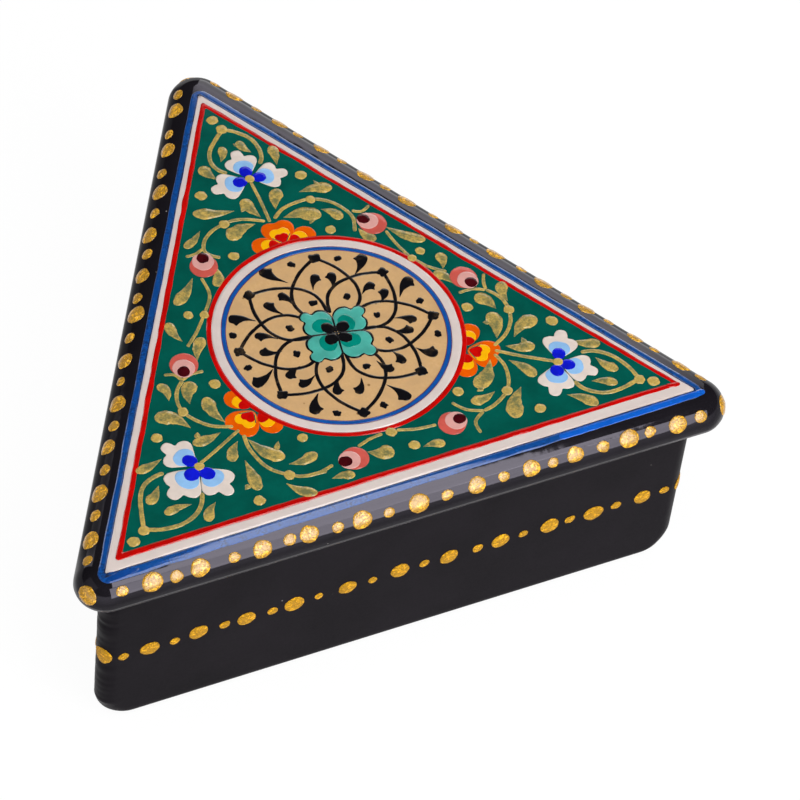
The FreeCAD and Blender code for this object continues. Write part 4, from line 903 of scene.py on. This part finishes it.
class BOX_OT_cap(bpy.types.Operator):
    """Makes the black cap: rolled edge, tucked rim and hollow"""

    bl_idname = "box.cap"
    bl_label = "Cap"

    def execute(self, context):
        reach, corner, roll = mm("cap_apothem"), mm("cap_corner"), mm("nose_radius")
        top, bottom, mouth = mm("cap_top"), mm("rim_bottom"), mm("mouth")
        hub, hub_corner, edge, tuck = reach - roll, corner - roll, 0.25, 0.25
        hollow, hollow_corner = 31.341, 3.0
        levels = [(hub - 14.0, 0.2, top), (hub - 4.0, 0.3, top), (hub - 0.6, 0.5, top)]
        levels += bend(hub, hub_corner, top - roll, roll, 0, 90, 40)
        sides = ((0.0, top - roll - 0.22), (0.0, top - roll - 0.45), (0.08, top - roll - 0.75), (0.19, bottom + 0.36))
        levels += [(reach - inset, corner - inset, z) for inset, z in sides]
        # the cap's lower arris is painted grey, a painted highlight standing in for the light it catches
        arris = bend(reach - tuck - edge, corner - tuck - edge, bottom + edge, edge, 80, 180, 8)
        levels += [(*level, 1.0 if 1 < k < 5 else 0.0) for k, level in enumerate(arris)]
        levels.append((reach - 2.0, corner - 2.0, bottom))
        mouths = [(0.2, bottom), (0.06, bottom + 0.05), (0.0, bottom + 0.2)]
        mouths += [(0.0, bottom + (mouth - bottom) * k / 4) for k in range(1, 4)]
        mouths += [(0.0, mouth - 0.1), (-0.1, mouth)]
        levels += [(hollow + inset, hollow_corner + inset, z) for inset, z in mouths]
        levels.append((hollow - 10.0, 0.5, mouth))
        nodes, shader = lamp_black("Lamp black lacquer on papier mache, dipped gloss", colours().lacquer, 0.06, 0.35)
        # the lacquer mirrors the panels where it faces them, and is dull where it turns away and was handled
        facing = nodes.add("ShaderNodeLayerWeight", {"Blend": 0.5}).outputs["Facing"]
        front, right = (self.gloss(nodes, facing, stops) for stops in (
            ((0.10, 0.46), (0.30, 0.13), (0.50, 0.13), (0.66, 0.24), (0.78, 0.12), (0.90, 0.0)),
            ((0.22, 0.70), (0.32, 0.75), (0.42, 0.42), (0.57, 0.26), (0.68, 0.07), (0.78, 0.03))))
        marks = nodes.stroke()
        level = nodes.blend(marks[2], nodes.blend(marks[1], front, right), (0.02, 0.02, 0.02))
        nodes.tree.links.new(level, shader.inputs["Specular IOR Level"])
        cap = loft(levels, 72, 28)
        # the right side was polished most, away from the front corner, and the left side least
        for k, (x, y, z) in enumerate(cap.points):
            out, along = turned(x, y, -SIDES[1])
            polish = ramp(out, reach - 6.5, 1.5) * ramp(along, -54.0, 16.0)
            out, along = turned(x, y, -SIDES[2])
            dull = ramp(out, reach - 4.0, 1.6) * ramp(-along, -52.0, 4.0)
            cap.marks[k] = (cap.marks[k][0], polish, dull * (1.0 - polish))
        cap.piece("cap_body", nodes.material, "black_lacquer_lid", ["lid_shell"])
        return {"FINISHED"}

    def gloss(self, nodes, facing, stops):
        """How strongly the lacquer mirrors at each slope to the eye."""
        made = nodes.add("ShaderNodeValToRGB", {0: facing})
        elements = made.color_ramp.elements
        for spot, level in stops:
            elements.new(spot).color = (level, level, level, 1.0)
        elements.remove(elements[0])
        elements.remove(elements[-1])
        return made.outputs[0]


class BOX_OT_ground(bpy.types.Operator):
    """Paints the emerald ground and the border's white, red and blue"""

    bl_idname = "box.ground"
    bl_label = "Ground and border"

    def execute(self, context):
        paint = colours()
        ground, white, red, blue, pencil, pool, tail = (Coat() for _ in range(7))
        ground.sheet(triangle(BORDER["field"], 0.5, 90, 8), (1.02, 0.7, 0.3), 0.004)
        ground.tempera("emerald_ground", "green_paint", ["green_field"], "Emerald tempera, brushed and varnished",
                       paint.emerald, 0.82, 1.14, 1.6, 0.3, flat=True)
        white.band(border_line("white", 0.0, 0.5, 90, 8, 0.10, 4), border_line("red", -0.35, 0.5, 90, 8, 0.05, 5),
                   *LAYERS["white border"], 1.0)
        white.tempera("chalk_border", "white_paint", ["border_white_band"],
                      "Chalk white tempera, brushed and varnished", paint.chalk, 0.95, 1.03, 1.2, 0.14)
        red.band(border_line("red", 0.0, 0.45, 110, 8, 0.16, 6, 0.35),
                 border_line("field", 0.0, 0.25, 110, 8, 0.14, 7, 0.35), *LAYERS["red border"], 2.0)
        red.stroke([(47.0, -27.1), (48.4, -27.35), (49.3, -27.3)], 0.85, 0.03, 0.03, seed=2.5)
        red.tempera("scarlet_border", "red_paint", ["border_red_line"], "Scarlet tempera, brushed and varnished",
                    paint.scarlet, 0.8, 1.15, 1.0, 0.35)
        blue.band(border_line("blue", 0.0, 1.6, 110, 10, 0.12, 8, 0.25),
                  border_line("white", -0.12, 0.35, 110, 10, 0.08, 9, 0.3), *LAYERS["blue border"], 3.0)
        blue.tempera("cobalt_border", "blue_paint", ["border_blue_line"], "Cobalt tempera, brushed and varnished",
                     paint.cobalt, 0.68, 1.25, 0.9, 0.4, linear("#0E1A2C"), 0.7)
        pencil.band(border_line("white", 0.09, 0.4, 110, 10, 0.05, 12, 0.3),
                    border_line("white", -0.09, 0.36, 110, 10, 0.05, 12, 0.3), *LAYERS["indigo line"], 3.5, 3)
        # a chip in the left corner, touched in nearly black
        chip = [(-52.6, -31.5), (-51.3, -31.5), (-50.0, -31.2), (-51.2, -30.9), (-52.4, -31.0)]
        pencil.blob(smooth(chip, 3, True), *LAYERS["chip"], 4.5)
        pencil.tempera("indigo_hairline", "blue_paint", [], "Dark indigo hairline, varnished", linear("#16223C"),
                       0.8, 1.5, 0.6, under=paint.cobalt, bare=0.8)
        # blue ran into a darker pool at the left corner, and a second, brighter load runs out into the right one
        puddle = [(-52.4, -32.2), (-50.0, -32.3), (-46.5, -31.8), (-48.0, -31.3), (-51.0, -31.3)]
        pool.blob(smooth(puddle, 4, True), *LAYERS["puddle"], 4.0)
        pool.tempera("cobalt_pool", "blue_paint", [], "Cobalt tempera, pooled",
                     linear("#0B3878"), 0.75, 1.2, 0.9, 0.3)
        trail = [(26.0, -30.75), (36.0, -30.6), (45.0, -30.45), (49.5, -30.3), (52.4, -30.2)]
        tail.stroke(trail, 1.2, *LAYERS["second load"], seed=5.5)
        tail.tempera("cobalt_second_load", "blue_paint", [], "Cobalt tempera, second load", linear("#0E58BE"),
                     0.75, 1.2, 0.9, 0.4, paint.cobalt, 0.8)
        return {"FINISHED"}


class BOX_OT_medallion(bpy.types.Operator):
    """Paints the medallion: rings, sand ground, tracery, teardrops and the teal flower"""

    bl_idname = "box.medallion"
    bl_label = "Medallion"

    def execute(self, context):
        paint = colours()
        ink = ink_line("Lamp black ink, drawn with a fine brush", paint.ink, paint.sand)
        x, y = mm("disc_x"), mm("disc_y")
        sand, drops = Coat(), Coat()
        sand.sheet(circle(x, y, SAND_RADIUS), (1.0, 12.0 / SAND_RADIUS, 5.0 / SAND_RADIUS), 0.02, (x, y))
        sand.tempera("sand_ground", "tan_gold_paint", ["medallion_tan_ground"],
                     "Sand gold tempera, brushed and varnished", paint.sand, 0.9, 1.06, 1.1, 0.3,
                     linear("#B48F5C"), 0.35, linear("#6E4E2A"), flat=True)
        self.rings(paint)
        self.tracery(ink)
        for tears, radius, spurs, seed in (
                (INNER_TEARS, 0.78, INNER_SPURS, 50.0), (OUTER_TEARS, 0.98, OUTER_SPURS, 70.0)):
            for k, (tear, spur) in enumerate(zip(tears, spurs)):
                drops.blob(teardrop(*tear, radius, spur, seed + k), INK_LIFT, 0.018, seed + k)
        drops.piece("ink_teardrops", ink, "black_brush_line", ["medallion_teardrops"])
        self.flower(paint, ink)
        return {"FINISHED"}

    def rings(self, paint):
        """The scarlet, white and blue rings, and the hairlines that part white, blue and sand."""
        x, y, r = mm("disc_x"), mm("disc_y"), mm("disc_radius")

        def drawn(inset, amount, seed):
            return unsteady(circle(x, y, r - inset, 220), amount, seed, 0.3)

        even, uneven = (0.95, 1.03, 1.0, 0.14), (0.85, 1.12, 1.0, 0.25)
        for name, outer, inner, lift, colour, brush, label, seed in (
                ("scarlet", -0.05, 0.76, 0.046, "red", uneven, "Scarlet", 21),
                ("chalk", 0.68, 2.45, 0.042, "white", even, "Chalk white", 22),
                ("cobalt", 2.32, 3.1, 0.052, "blue", uneven, "Cobalt", 23)):
            ring = Coat()
            ring.band(drawn(outer, 0.09, seed), drawn(inner, 0.09, seed + 40), lift, 0.008, float(seed))
            ring.tempera(f"{name}_ring", f"{colour}_paint", [f"medallion_{colour}_ring"], f"{label} tempera, ring",
                         getattr(paint, name), *brush)
        edge = Coat()
        for outer, inner, seed, mark in ((2.28, 2.40, 23, 5.0), (3.04, 3.14, 63, 6.0)):
            edge.band(drawn(outer, 0.04, seed), drawn(inner, 0.04, seed), *LAYERS["ring hairline"], mark, 3)
        edge.tempera("wine_hairlines", "blue_paint", [], "Wine red hairline, varnished", linear("#5A1226"),
                     0.85, 1.2, 0.7, under=paint.cobalt, bare=0.7)

    def tracery(self, ink):
        """Eight petals, each of two brush lines that meet in a knob, and the eyes between them."""
        lines = Coat()
        for k, tip in enumerate(TRACERY_TIPS):
            angle = math.degrees(math.atan2(tip[1] - HUB[1], tip[0] - HUB[0]))
            reach = math.dist(tip, HUB)
            for side in (-1, 1):
                wide = TRACERY_WIDE.get((k, side), 1.0)
                path = [off(*HUB, u * reach, side * v * reach * wide, angle) for u, v in TRACERY_LINE]
                lines.stroke(path, INK_WIDTH, INK_LIFT, 0.016, seed=10.0 + k + side * 0.3, steps=5)
            lines.blob(roundel(*tip, KNOB_RADIUS, k, 24, 0.95, 30 * k, 0.3, 0.1), *LAYERS["ink knob"], 20.0 + k)
        for k, eye in enumerate(EYES):
            lines.blob(roundel(*eye, EYE_RADIUS, k + 9, 20, 0.85, 40 * k, 0.35, 0.06), *LAYERS["ink eye"], 30.0 + k)
        lines.piece("ink_tracery", ink, "black_brush_line", ["medallion_petal_lines"])

    def flower(self, paint, ink):
        """The teal flower in the middle, outlined and hearted in ink."""
        outline, light, deep, hearts = (Coat() for _ in range(4))
        for k, (angle, size) in enumerate(((127, 0.97), (31, 1.0), (216, 1.03), (-55, 1.06))):
            edge = petal(TEAL_PETAL, *HUB, angle, size * 1.035, 80 + k, 1.05)
            outline.blob(edge, *LAYERS["ink outline"], 80.0 + k)
            light.blob(petal(TEAL_PETAL, *HUB, angle, size * 0.985, 80 + k), *LAYERS["teal petal"], 81.0 + k)
            shadow = roundel(*off(*HUB, 2.7, 0.0, angle), 1.75, k, 24, 0.82, angle + 60, 0.08)
            deep.blob(shadow, *LAYERS["teal shade"], 84.0 + k)
            heart = roundel(*off(*HUB, 1.65, 0.0, angle), 1.25, k, 20, 0.84, angle, 0.12)
            hearts.blob(heart, *LAYERS["ink heart"], 88.0 + k)
        for angle, size in ((80, 3.2), (170, 4.5), (260, 4.6), (-12, 4.8)):
            hearts.stroke([HUB, off(*HUB, size, 0.0, angle)], 0.32, *LAYERS["ink vein"], seed=7.0)
        outline.piece("ink_flower_outline", ink, "black_brush_line")
        light.tempera("teal_petals", "teal_paint", ["medallion_flower"], "Teal tempera, brushed and varnished",
                      paint.teal, 0.86, 1.1, 0.9)
        deep.tempera("teal_petal_shades", "teal_paint", [], "Deep teal tempera, brushed and varnished",
                     paint.deep_teal, 0.86, 1.12, 0.9)
        hearts.piece("ink_flower_hearts", ink, "black_brush_line", ["medallion_flower_eyes"])


class BOX_OT_blossoms(bpy.types.Operator):
    """Paints the corner flowers, the rosettes on the ring and the rose buds"""

    bl_idname = "box.blossoms"
    bl_label = "Blossoms"

    def execute(self, context):
        paint = colours()
        white, sky, hearts, buttons = (Coat() for _ in range(4))
        orange, yellow, core, seams = (Coat() for _ in range(4))
        coral, pink, mouths = (Coat() for _ in range(3))
        for k, corner in enumerate(CORNERS):
            x, y, petals = corner["flower"]
            for j, (angle, size) in enumerate(petals):
                seed = 100.0 + 10 * k + j
                middle = off(x, y, 3.3 * size, 0, angle)
                white.blob(petal(WHITE_PETAL, x, y, angle, size, seed), *LAYERS["white petal"], seed, middle)
                sky.blob(petal(SKY_PETAL, x, y, angle, size, seed), *LAYERS["sky petal"], seed)
                heart = off(x, y, 1.72 * size, 0.0, angle)
                heart = roundel(*heart, 1.2 * size ** 0.7, seed, 24, 0.93, angle, 0.08)
                hearts.blob(heart, *LAYERS["blue heart"], seed)
            buttons.blob(roundel(x, y, 0.82, k, 20, 0.95, 0, 0.12), *LAYERS["button"], 130.0 + k)
            x, y, angle, flanks, size = corner["rosette"]
            petals = [(ROSETTE_SIDES, angle + turn, wide, 140.0 + 10 * k + j)
                      for j, (turn, wide) in enumerate(flanks)]
            for halves, way, wide, seed in (*petals, (ROSETTE_TOPS, angle, size, 145.0 + 10 * k)):
                for coat, (half, lift), height in zip((orange, yellow, core), halves, (0.008, 0.005, 0.004)):
                    coat.blob(petal(half, x, y, way, wide, seed), lift, height, seed)
            for turn in (38, -38):
                ends = [off(x, y, 0.7, 0, angle + turn), off(x, y, 2.5, 0, angle + turn * 1.05)]
                seams.stroke(ends, 0.15, *LAYERS["seam"], seed=150.0 + k)
        for k, (x, y, size, *mouth) in enumerate(BUDS):
            angle = math.degrees(math.atan2(mouth[1] - y, mouth[0] - x))
            coral.blob(roundel(x, y, size, 160 + k, 30, 0.97, angle, 0.05), *LAYERS["bud"], 160.0 + k)
            light = roundel(*between((x, y), mouth, 0.52), size * 0.78, 170 + k, 26, 0.98, angle, 0.06)
            pink.blob(light, *LAYERS["bud shade"], 170.0 + k)
            hole = roundel(*between(mouth, (x, y), 0.06), 1.12, 180 + k, 22, 0.92, angle, 0.1)
            mouths.blob(hole, *LAYERS["bud mouth"], 180.0 + k)
        for coat, name, slot, nodes, label, *brush in (
                (white, "white_petals", "petal_white_paint", ["corner_flower_petals"],
                 "Petal white tempera, thickly brushed", paint.petal_white, 0.93, 1.04, 0.7, 0.15),
                (sky, "sky_petal_shades", "petal_white_paint", [], "Sky blue tempera, brushed",
                 paint.sky, 0.92, 1.06, 0.8, 0.2),
                (hearts, "ultramarine_hearts", "heart_blue_paint", ["corner_flower_hearts"],
                 "Ultramarine tempera, brushed", paint.ultramarine, 0.8, 1.2, 0.7),
                (buttons, "gold_buttons", "gold_brush_paint", ["corner_flower_buttons"], "Vine gold tempera, dotted"),
                (orange, "orange_rosettes", "orange_paint", ["rim_rosettes"], "Orange tempera, brushed",
                 paint.orange, 0.88, 1.05, 0.8, 0.2),
                (yellow, "yellow_rosette_shades", "orange_paint", [], "Yellow tempera, brushed",
                 paint.yellow, 0.92, 1.03, 0.8, 0.15),
                (core, "scarlet_rosette_hearts", "orange_paint", [], "Scarlet tempera, dotted",
                 paint.scarlet, 0.85, 1.2, 0.8),
                (seams, "emerald_rosette_seams", "green_paint", [], "Emerald tempera, hairline",
                 paint.emerald, 0.8, 1.2, 0.8),
                (coral, "coral_buds", "coral_paint", ["rose_buds"], "Coral tempera, brushed",
                 paint.coral, 0.86, 1.1, 0.8),
                (pink, "pink_bud_shades", "coral_paint", [], "Pink tempera, brushed",
                 paint.pink, 0.93, 1.05, 0.8, 0.2),
                (mouths, "maroon_bud_mouths", "maroon_paint", ["rose_bud_mouths"], "Maroon tempera, dotted",
                 paint.maroon, 0.7, 1.4, 0.8)):
            if brush:
                coat.tempera(name, slot, nodes, label, *brush)
            else:
                coat.piece(name, dry_gold(label, 0.15), slot, nodes)
        return {"FINISHED"}


class BOX_OT_vines(bpy.types.Operator):
    """Paints the gold stems, leaves and spots between the flowers"""

    bl_idname = "box.vines"
    bl_label = "Vines"

    def execute(self, context):
        stems, leaves, spots = (Coat() for _ in range(3))
        # where the seeds of each group start: its loops, stems, spots, leaves and barbs
        groups = [(corner, 200 + 10 * k, 203 + 10 * k, 210 + 10 * k, 240 + 20 * k, 300 + 5 * k)
                  for k, corner in enumerate(CORNERS)]
        for group, at_loop, at_stem, at_spot, at_leaf, at_barb in (*groups, (SIDE_GROUP, 0, 310, 320, 330, 0)):
            for j, path in enumerate(group["loop"]):
                stems.stroke(path, LOOP_WIDTH, VINE_LIFT, 0.025, seed=float(at_loop + j))
            for j, path in enumerate(group["stems"]):
                wide = STEM_WIDTH if len(path) > 3 else TWIG_WIDTH
                stems.stroke(path, wide, VINE_LIFT, 0.025, seed=float(at_stem + j))
            for j, (x, y, size) in enumerate(group["spots"]):
                seed = at_spot + j
                spots.blob(roundel(x, y, size / 2, seed, 22, 0.95, 30 * j, 0.16), *LAYERS["spot"], float(seed))
            for j, leaf in enumerate(group["leaves"]):
                self.leaf(leaves, leaf, float(at_leaf + j))
            for j, (ax, ay, bx, by) in enumerate(group["barbs"]):
                leaves.stroke([(ax, ay), (bx, by)], 1.0, VINE_LIFT, 0.03, "leaf", float(at_barb + j), 4)
        for coat, name, label, bare, node in (
                (stems, "vine_stems", "Vine gold tempera, drawn", 0.8, "gold_stems"),
                (leaves, "vine_leaves", "Vine gold tempera, half dry", 1.0, "gold_leaves"),
                (spots, "vine_spots", "Vine gold tempera, full brush", 0.3, "gold_spots")):
            coat.piece(name, dry_gold(label, bare), "gold_brush_paint", [node])
        return {"FINISHED"}

    def leaf(self, coat, leaf, seed):
        """A leaf from its round heel to its tip, bowed to one side."""
        heel, tip, (width, bow) = leaf[:2], leaf[2:4], leaf[4:]
        long = math.dist(heel, tip)
        mid = between(heel, tip, 0.45)
        mid = (mid[0] + (tip[1] - heel[1]) / long * bow, mid[1] - (tip[0] - heel[0]) / long * bow)
        coat.stroke([between(heel, tip, -0.2 * width / long), mid, tip], width, 0.032, 0.03, "leaf", seed, 7)


class BOX_OT_gold_dots(bpy.types.Operator):
    """Sets the raised gold dots along the rim and the walls"""

    bl_idname = "box.gold_dots"
    bl_label = "Gold dots"

    def execute(self, context):
        gold = raised_gold("Bronze powder gold in size, dotted and varnished", 1.0, 1.0)
        bare_gold = raised_gold("Bronze powder gold in size, dotted and left bare", 0.0, 2.6)
        tree = self.tree()
        rng = random.Random(11)
        reach, roll, corner = mm("cap_apothem"), mm("nose_radius"), mm("cap_corner")
        hub, rim, wall = mm("cap_top") - roll, [], []
        for side, facing, s, large in self.row(rng, RIM_PITCH, RIM_FRONT):
            tilt = RIM_TILTS[side] + rng.uniform(-3, 3)
            size = rng.uniform(1.38, 1.62) if large else rng.uniform(0.86, 1.04)
            rim.append(self.dot(reach - roll, s, facing, hub, tilt, roll, size * 1.1, size, 0.0, 1 / roll))
        for way in CORNER_WAYS:
            out = 2 * (reach - corner) + corner - roll
            rim.append(self.dot(out, 0, way, hub, CORNER_TILT, roll, 1.7, 1.7, 0.19, 1 / roll))
        self.scatter("rim_gold_dots", rim, tree, gold, "lid", "gold_paint_rim",
                     ["rim_large_dots", "rim_small_dots"])
        reach, corner = mm("tray_apothem"), mm("tray_corner")
        for side, facing, s, large in self.row(rng, WALL_PITCH, WALL_FRONT):
            size = rng.uniform(1.52, 1.76) if large else rng.uniform(0.78, 0.95)
            z = WALL_DOT_HEIGHT + rng.uniform(-0.25, 0.25)
            wide = size * rng.uniform(0.94, 1.06)
            wall.append(self.dot(reach, s, facing, z, 90, 0.0, wide, size, 0.0, 0.0))
        for way in CORNER_WAYS:
            out = 2 * (reach - corner) + corner
            wall.append(self.dot(out, 0, way, WALL_DOT_HEIGHT, 90, 0.0, 1.6, 1.9, 1 / corner, 0.0))
        self.scatter("wall_gold_dots", wall, tree, bare_gold, "base", "gold_paint_wall",
                     ["wall_large_dots", "wall_small_dots"])
        return {"FINISHED"}

    def row(self, rng, pitch, front):
        """The dots of three sides: side, its facing, place along it, and whether the dot is large. The front's are
        listed one by one, and the other two sides go on as a hand would."""
        for side, facing in enumerate(SIDES):
            for large, offset in ((True, -5.0), (False, -5.5)):
                for k, seen in enumerate(front[0 if large else 1]):
                    s = (offset + k) * pitch + rng.uniform(-0.5, 0.5)
                    yield side, facing, s if side else seen, large

    def dot(self, out, along, facing, z, tilt, roll, wide, long, curl_along, curl_across):
        """A dot's place on a roll about a hub line, the ways it faces and lies, its radii, and its face's curve."""
        t = math.radians(tilt)
        place = (*turned(out + roll * math.sin(t), along, facing), z + roll * math.cos(t))
        normal = (*turned(math.sin(t), 0, facing), math.cos(t))
        return place, normal, (*turned(0, 1, facing), 0.0), wide, long, curl_along, curl_across

    def tree(self):
        """The dots' tree: one low dome on each point, laid on its face, bent to it, and made uneven by hand."""
        tree = bpy.data.node_groups.new("dotted_gold", "GeometryNodeTree")
        for label, kind in (("Geometry", "Geometry"), ("Height", "Float"), ("Unevenness", "Float"),
                            ("Finish", "Material")):
            tree.interface.new_socket(label, in_out="INPUT", socket_type="NodeSocket" + kind)
        tree.interface.new_socket("Geometry", in_out="OUTPUT", socket_type="NodeSocketGeometry")
        nodes = Nodes(tree)
        given = nodes.add("NodeGroupInput").outputs
        facing, lying, spread, curl, local = (
            nodes.add("GeometryNodeInputNamedAttribute", {"Name": label}, data_type="FLOAT_VECTOR").outputs[0]
            for label in (*DOT_MARKS, "local"))
        ball = nodes.add("GeometryNodeMeshIcoSphere", {"Radius": 1.0, "Subdivisions": 3})
        own = nodes.add("GeometryNodeInputPosition")
        kept = nodes.add("GeometryNodeStoreNamedAttribute", {"Geometry": ball, "Name": "local", "Value": own},
                         data_type="FLOAT_VECTOR", domain="POINT")
        up = nodes.add("FunctionNodeAlignRotationToVector", {"Vector": facing}, axis="Z")
        turn = nodes.add("FunctionNodeAlignRotationToVector", {"Rotation": up, "Vector": lying}, axis="X",
                         pivot_axis="Z")
        parts = nodes.add("ShaderNodeSeparateXYZ", {0: spread}).outputs
        tall = nodes.maths("MULTIPLY", parts[2], given["Height"])
        grow = nodes.add("ShaderNodeCombineXYZ", {0: parts[0], 1: parts[1], 2: tall})
        placed = nodes.add("GeometryNodeInstanceOnPoints", {
            "Points": given["Geometry"], "Instance": kept, "Rotation": turn, "Scale": grow})
        real = nodes.add("GeometryNodeRealizeInstances", {0: placed})
        # the dome follows the roll of the rim: it sinks with the square of the distance from its middle
        away = nodes.vectors("MULTIPLY", local, spread)
        sunk = nodes.vectors("DOT_PRODUCT", nodes.vectors("MULTIPLY", away, away), curl)
        follow = nodes.scaled(facing, nodes.maths("MULTIPLY", sunk, -0.5))
        # an uneven outline, in lobes about 1.6 mm across
        lobes = nodes.noise(1.6, 1.0).node.outputs["Color"]
        shift = nodes.scaled(nodes.vectors("SUBTRACT", lobes, (0.5, 0.5, 0.5)), given["Unevenness"])
        lift = nodes.scaled(facing, nodes.vectors("DOT_PRODUCT", shift, facing))
        total = nodes.vectors("ADD", follow, nodes.vectors("SUBTRACT", shift, lift))
        moved = nodes.add("GeometryNodeSetPosition", {"Geometry": real, "Offset": total})
        soft = nodes.add("GeometryNodeSetShadeSmooth", {"Geometry": moved})
        done = nodes.add("GeometryNodeSetMaterial", {"Geometry": soft, "Material": given["Finish"]})
        nodes.add("NodeGroupOutput", {0: done})
        return tree

    def scatter(self, name, dots, tree, gold, body, slot, nodes):
        """Runs the tree over the places of one body's dots and keeps the result as a plain mesh."""
        seeds = bpy.data.meshes.new(name + "_places")
        seeds.from_pydata([[c * MM for c in dot[0]] for dot in dots], [], [])
        rows = [(normal, lying, (wide * MM, long * MM, 1.0 if long > 1.2 else 0.8), (a / MM, b / MM, 0.0))
                for place, normal, lying, wide, long, a, b in dots]
        for label, column in zip(DOT_MARKS, zip(*rows)):
            mark = seeds.attributes.new(label, "FLOAT_VECTOR", "POINT")
            mark.data.foreach_set("vector", [c for row in column for c in row])
        holder = bpy.data.objects.new(name + "_places", seeds)
        bpy.context.scene.collection.objects.link(holder)
        modifier = holder.modifiers.new("dots", "NODES")
        modifier.node_group = tree
        given = {"Height": sizes().dot_height, "Unevenness": 0.5 * MM, "Finish": gold}
        for item in tree.interface.items_tree:
            if item.in_out == "INPUT" and item.name in given:
                modifier[item.identifier] = given[item.name]
        graph = bpy.context.evaluated_depsgraph_get()
        mesh = bpy.data.meshes.new_from_object(
            holder.evaluated_get(graph), preserve_all_data_layers=True, depsgraph=graph)
        for label in (*DOT_MARKS, "local"):
            if label in mesh.attributes:
                mesh.attributes.remove(mesh.attributes[label])
        mesh.name = name
        bpy.data.objects.remove(holder)
        settle(bpy.data.objects.new(name, mesh), body, slot, nodes)


class BOX_PT_painter(bpy.types.Panel):
    """The painter's bench in the 3D view's sidebar"""

    bl_idname = "BOX_PT_painter"
    bl_label = "Papier mache box"
    bl_space_type = "VIEW_3D"
    bl_region_type = "UI"
    bl_category = "Papier Mache"

    def draw(self, context):
        layout = self.layout
        for step in STEPS:
            layout.operator(step.bl_idname)
        for group in (context.scene.box_sizes, context.scene.box_colours):
            column = layout.column(align=True)
            for key in group.bl_rna.properties.keys():
                if key not in ("rna_type", "name"):
                    column.prop(group, key)


STEPS = (BOX_OT_studio, BOX_OT_tray, BOX_OT_cap, BOX_OT_ground, BOX_OT_medallion, BOX_OT_blossoms, BOX_OT_vines,
         BOX_OT_gold_dots)
CLASSES = (BOX_PG_sizes, BOX_PG_colours, *STEPS, BOX_PT_painter)


def register():
    for item in CLASSES:
        bpy.utils.register_class(item)
    bpy.types.Scene.box_sizes = bpy.props.PointerProperty(type=BOX_PG_sizes)
    bpy.types.Scene.box_colours = bpy.props.PointerProperty(type=BOX_PG_colours)


def unregister():
    del bpy.types.Scene.box_colours
    del bpy.types.Scene.box_sizes
    for item in reversed(CLASSES):
        bpy.utils.unregister_class(item)


def main():
    register()
    for step in STEPS:
        group, name = step.bl_idname.split(".")
        getattr(getattr(bpy.ops, group), name)()


if __name__ == "__main__":
    main()
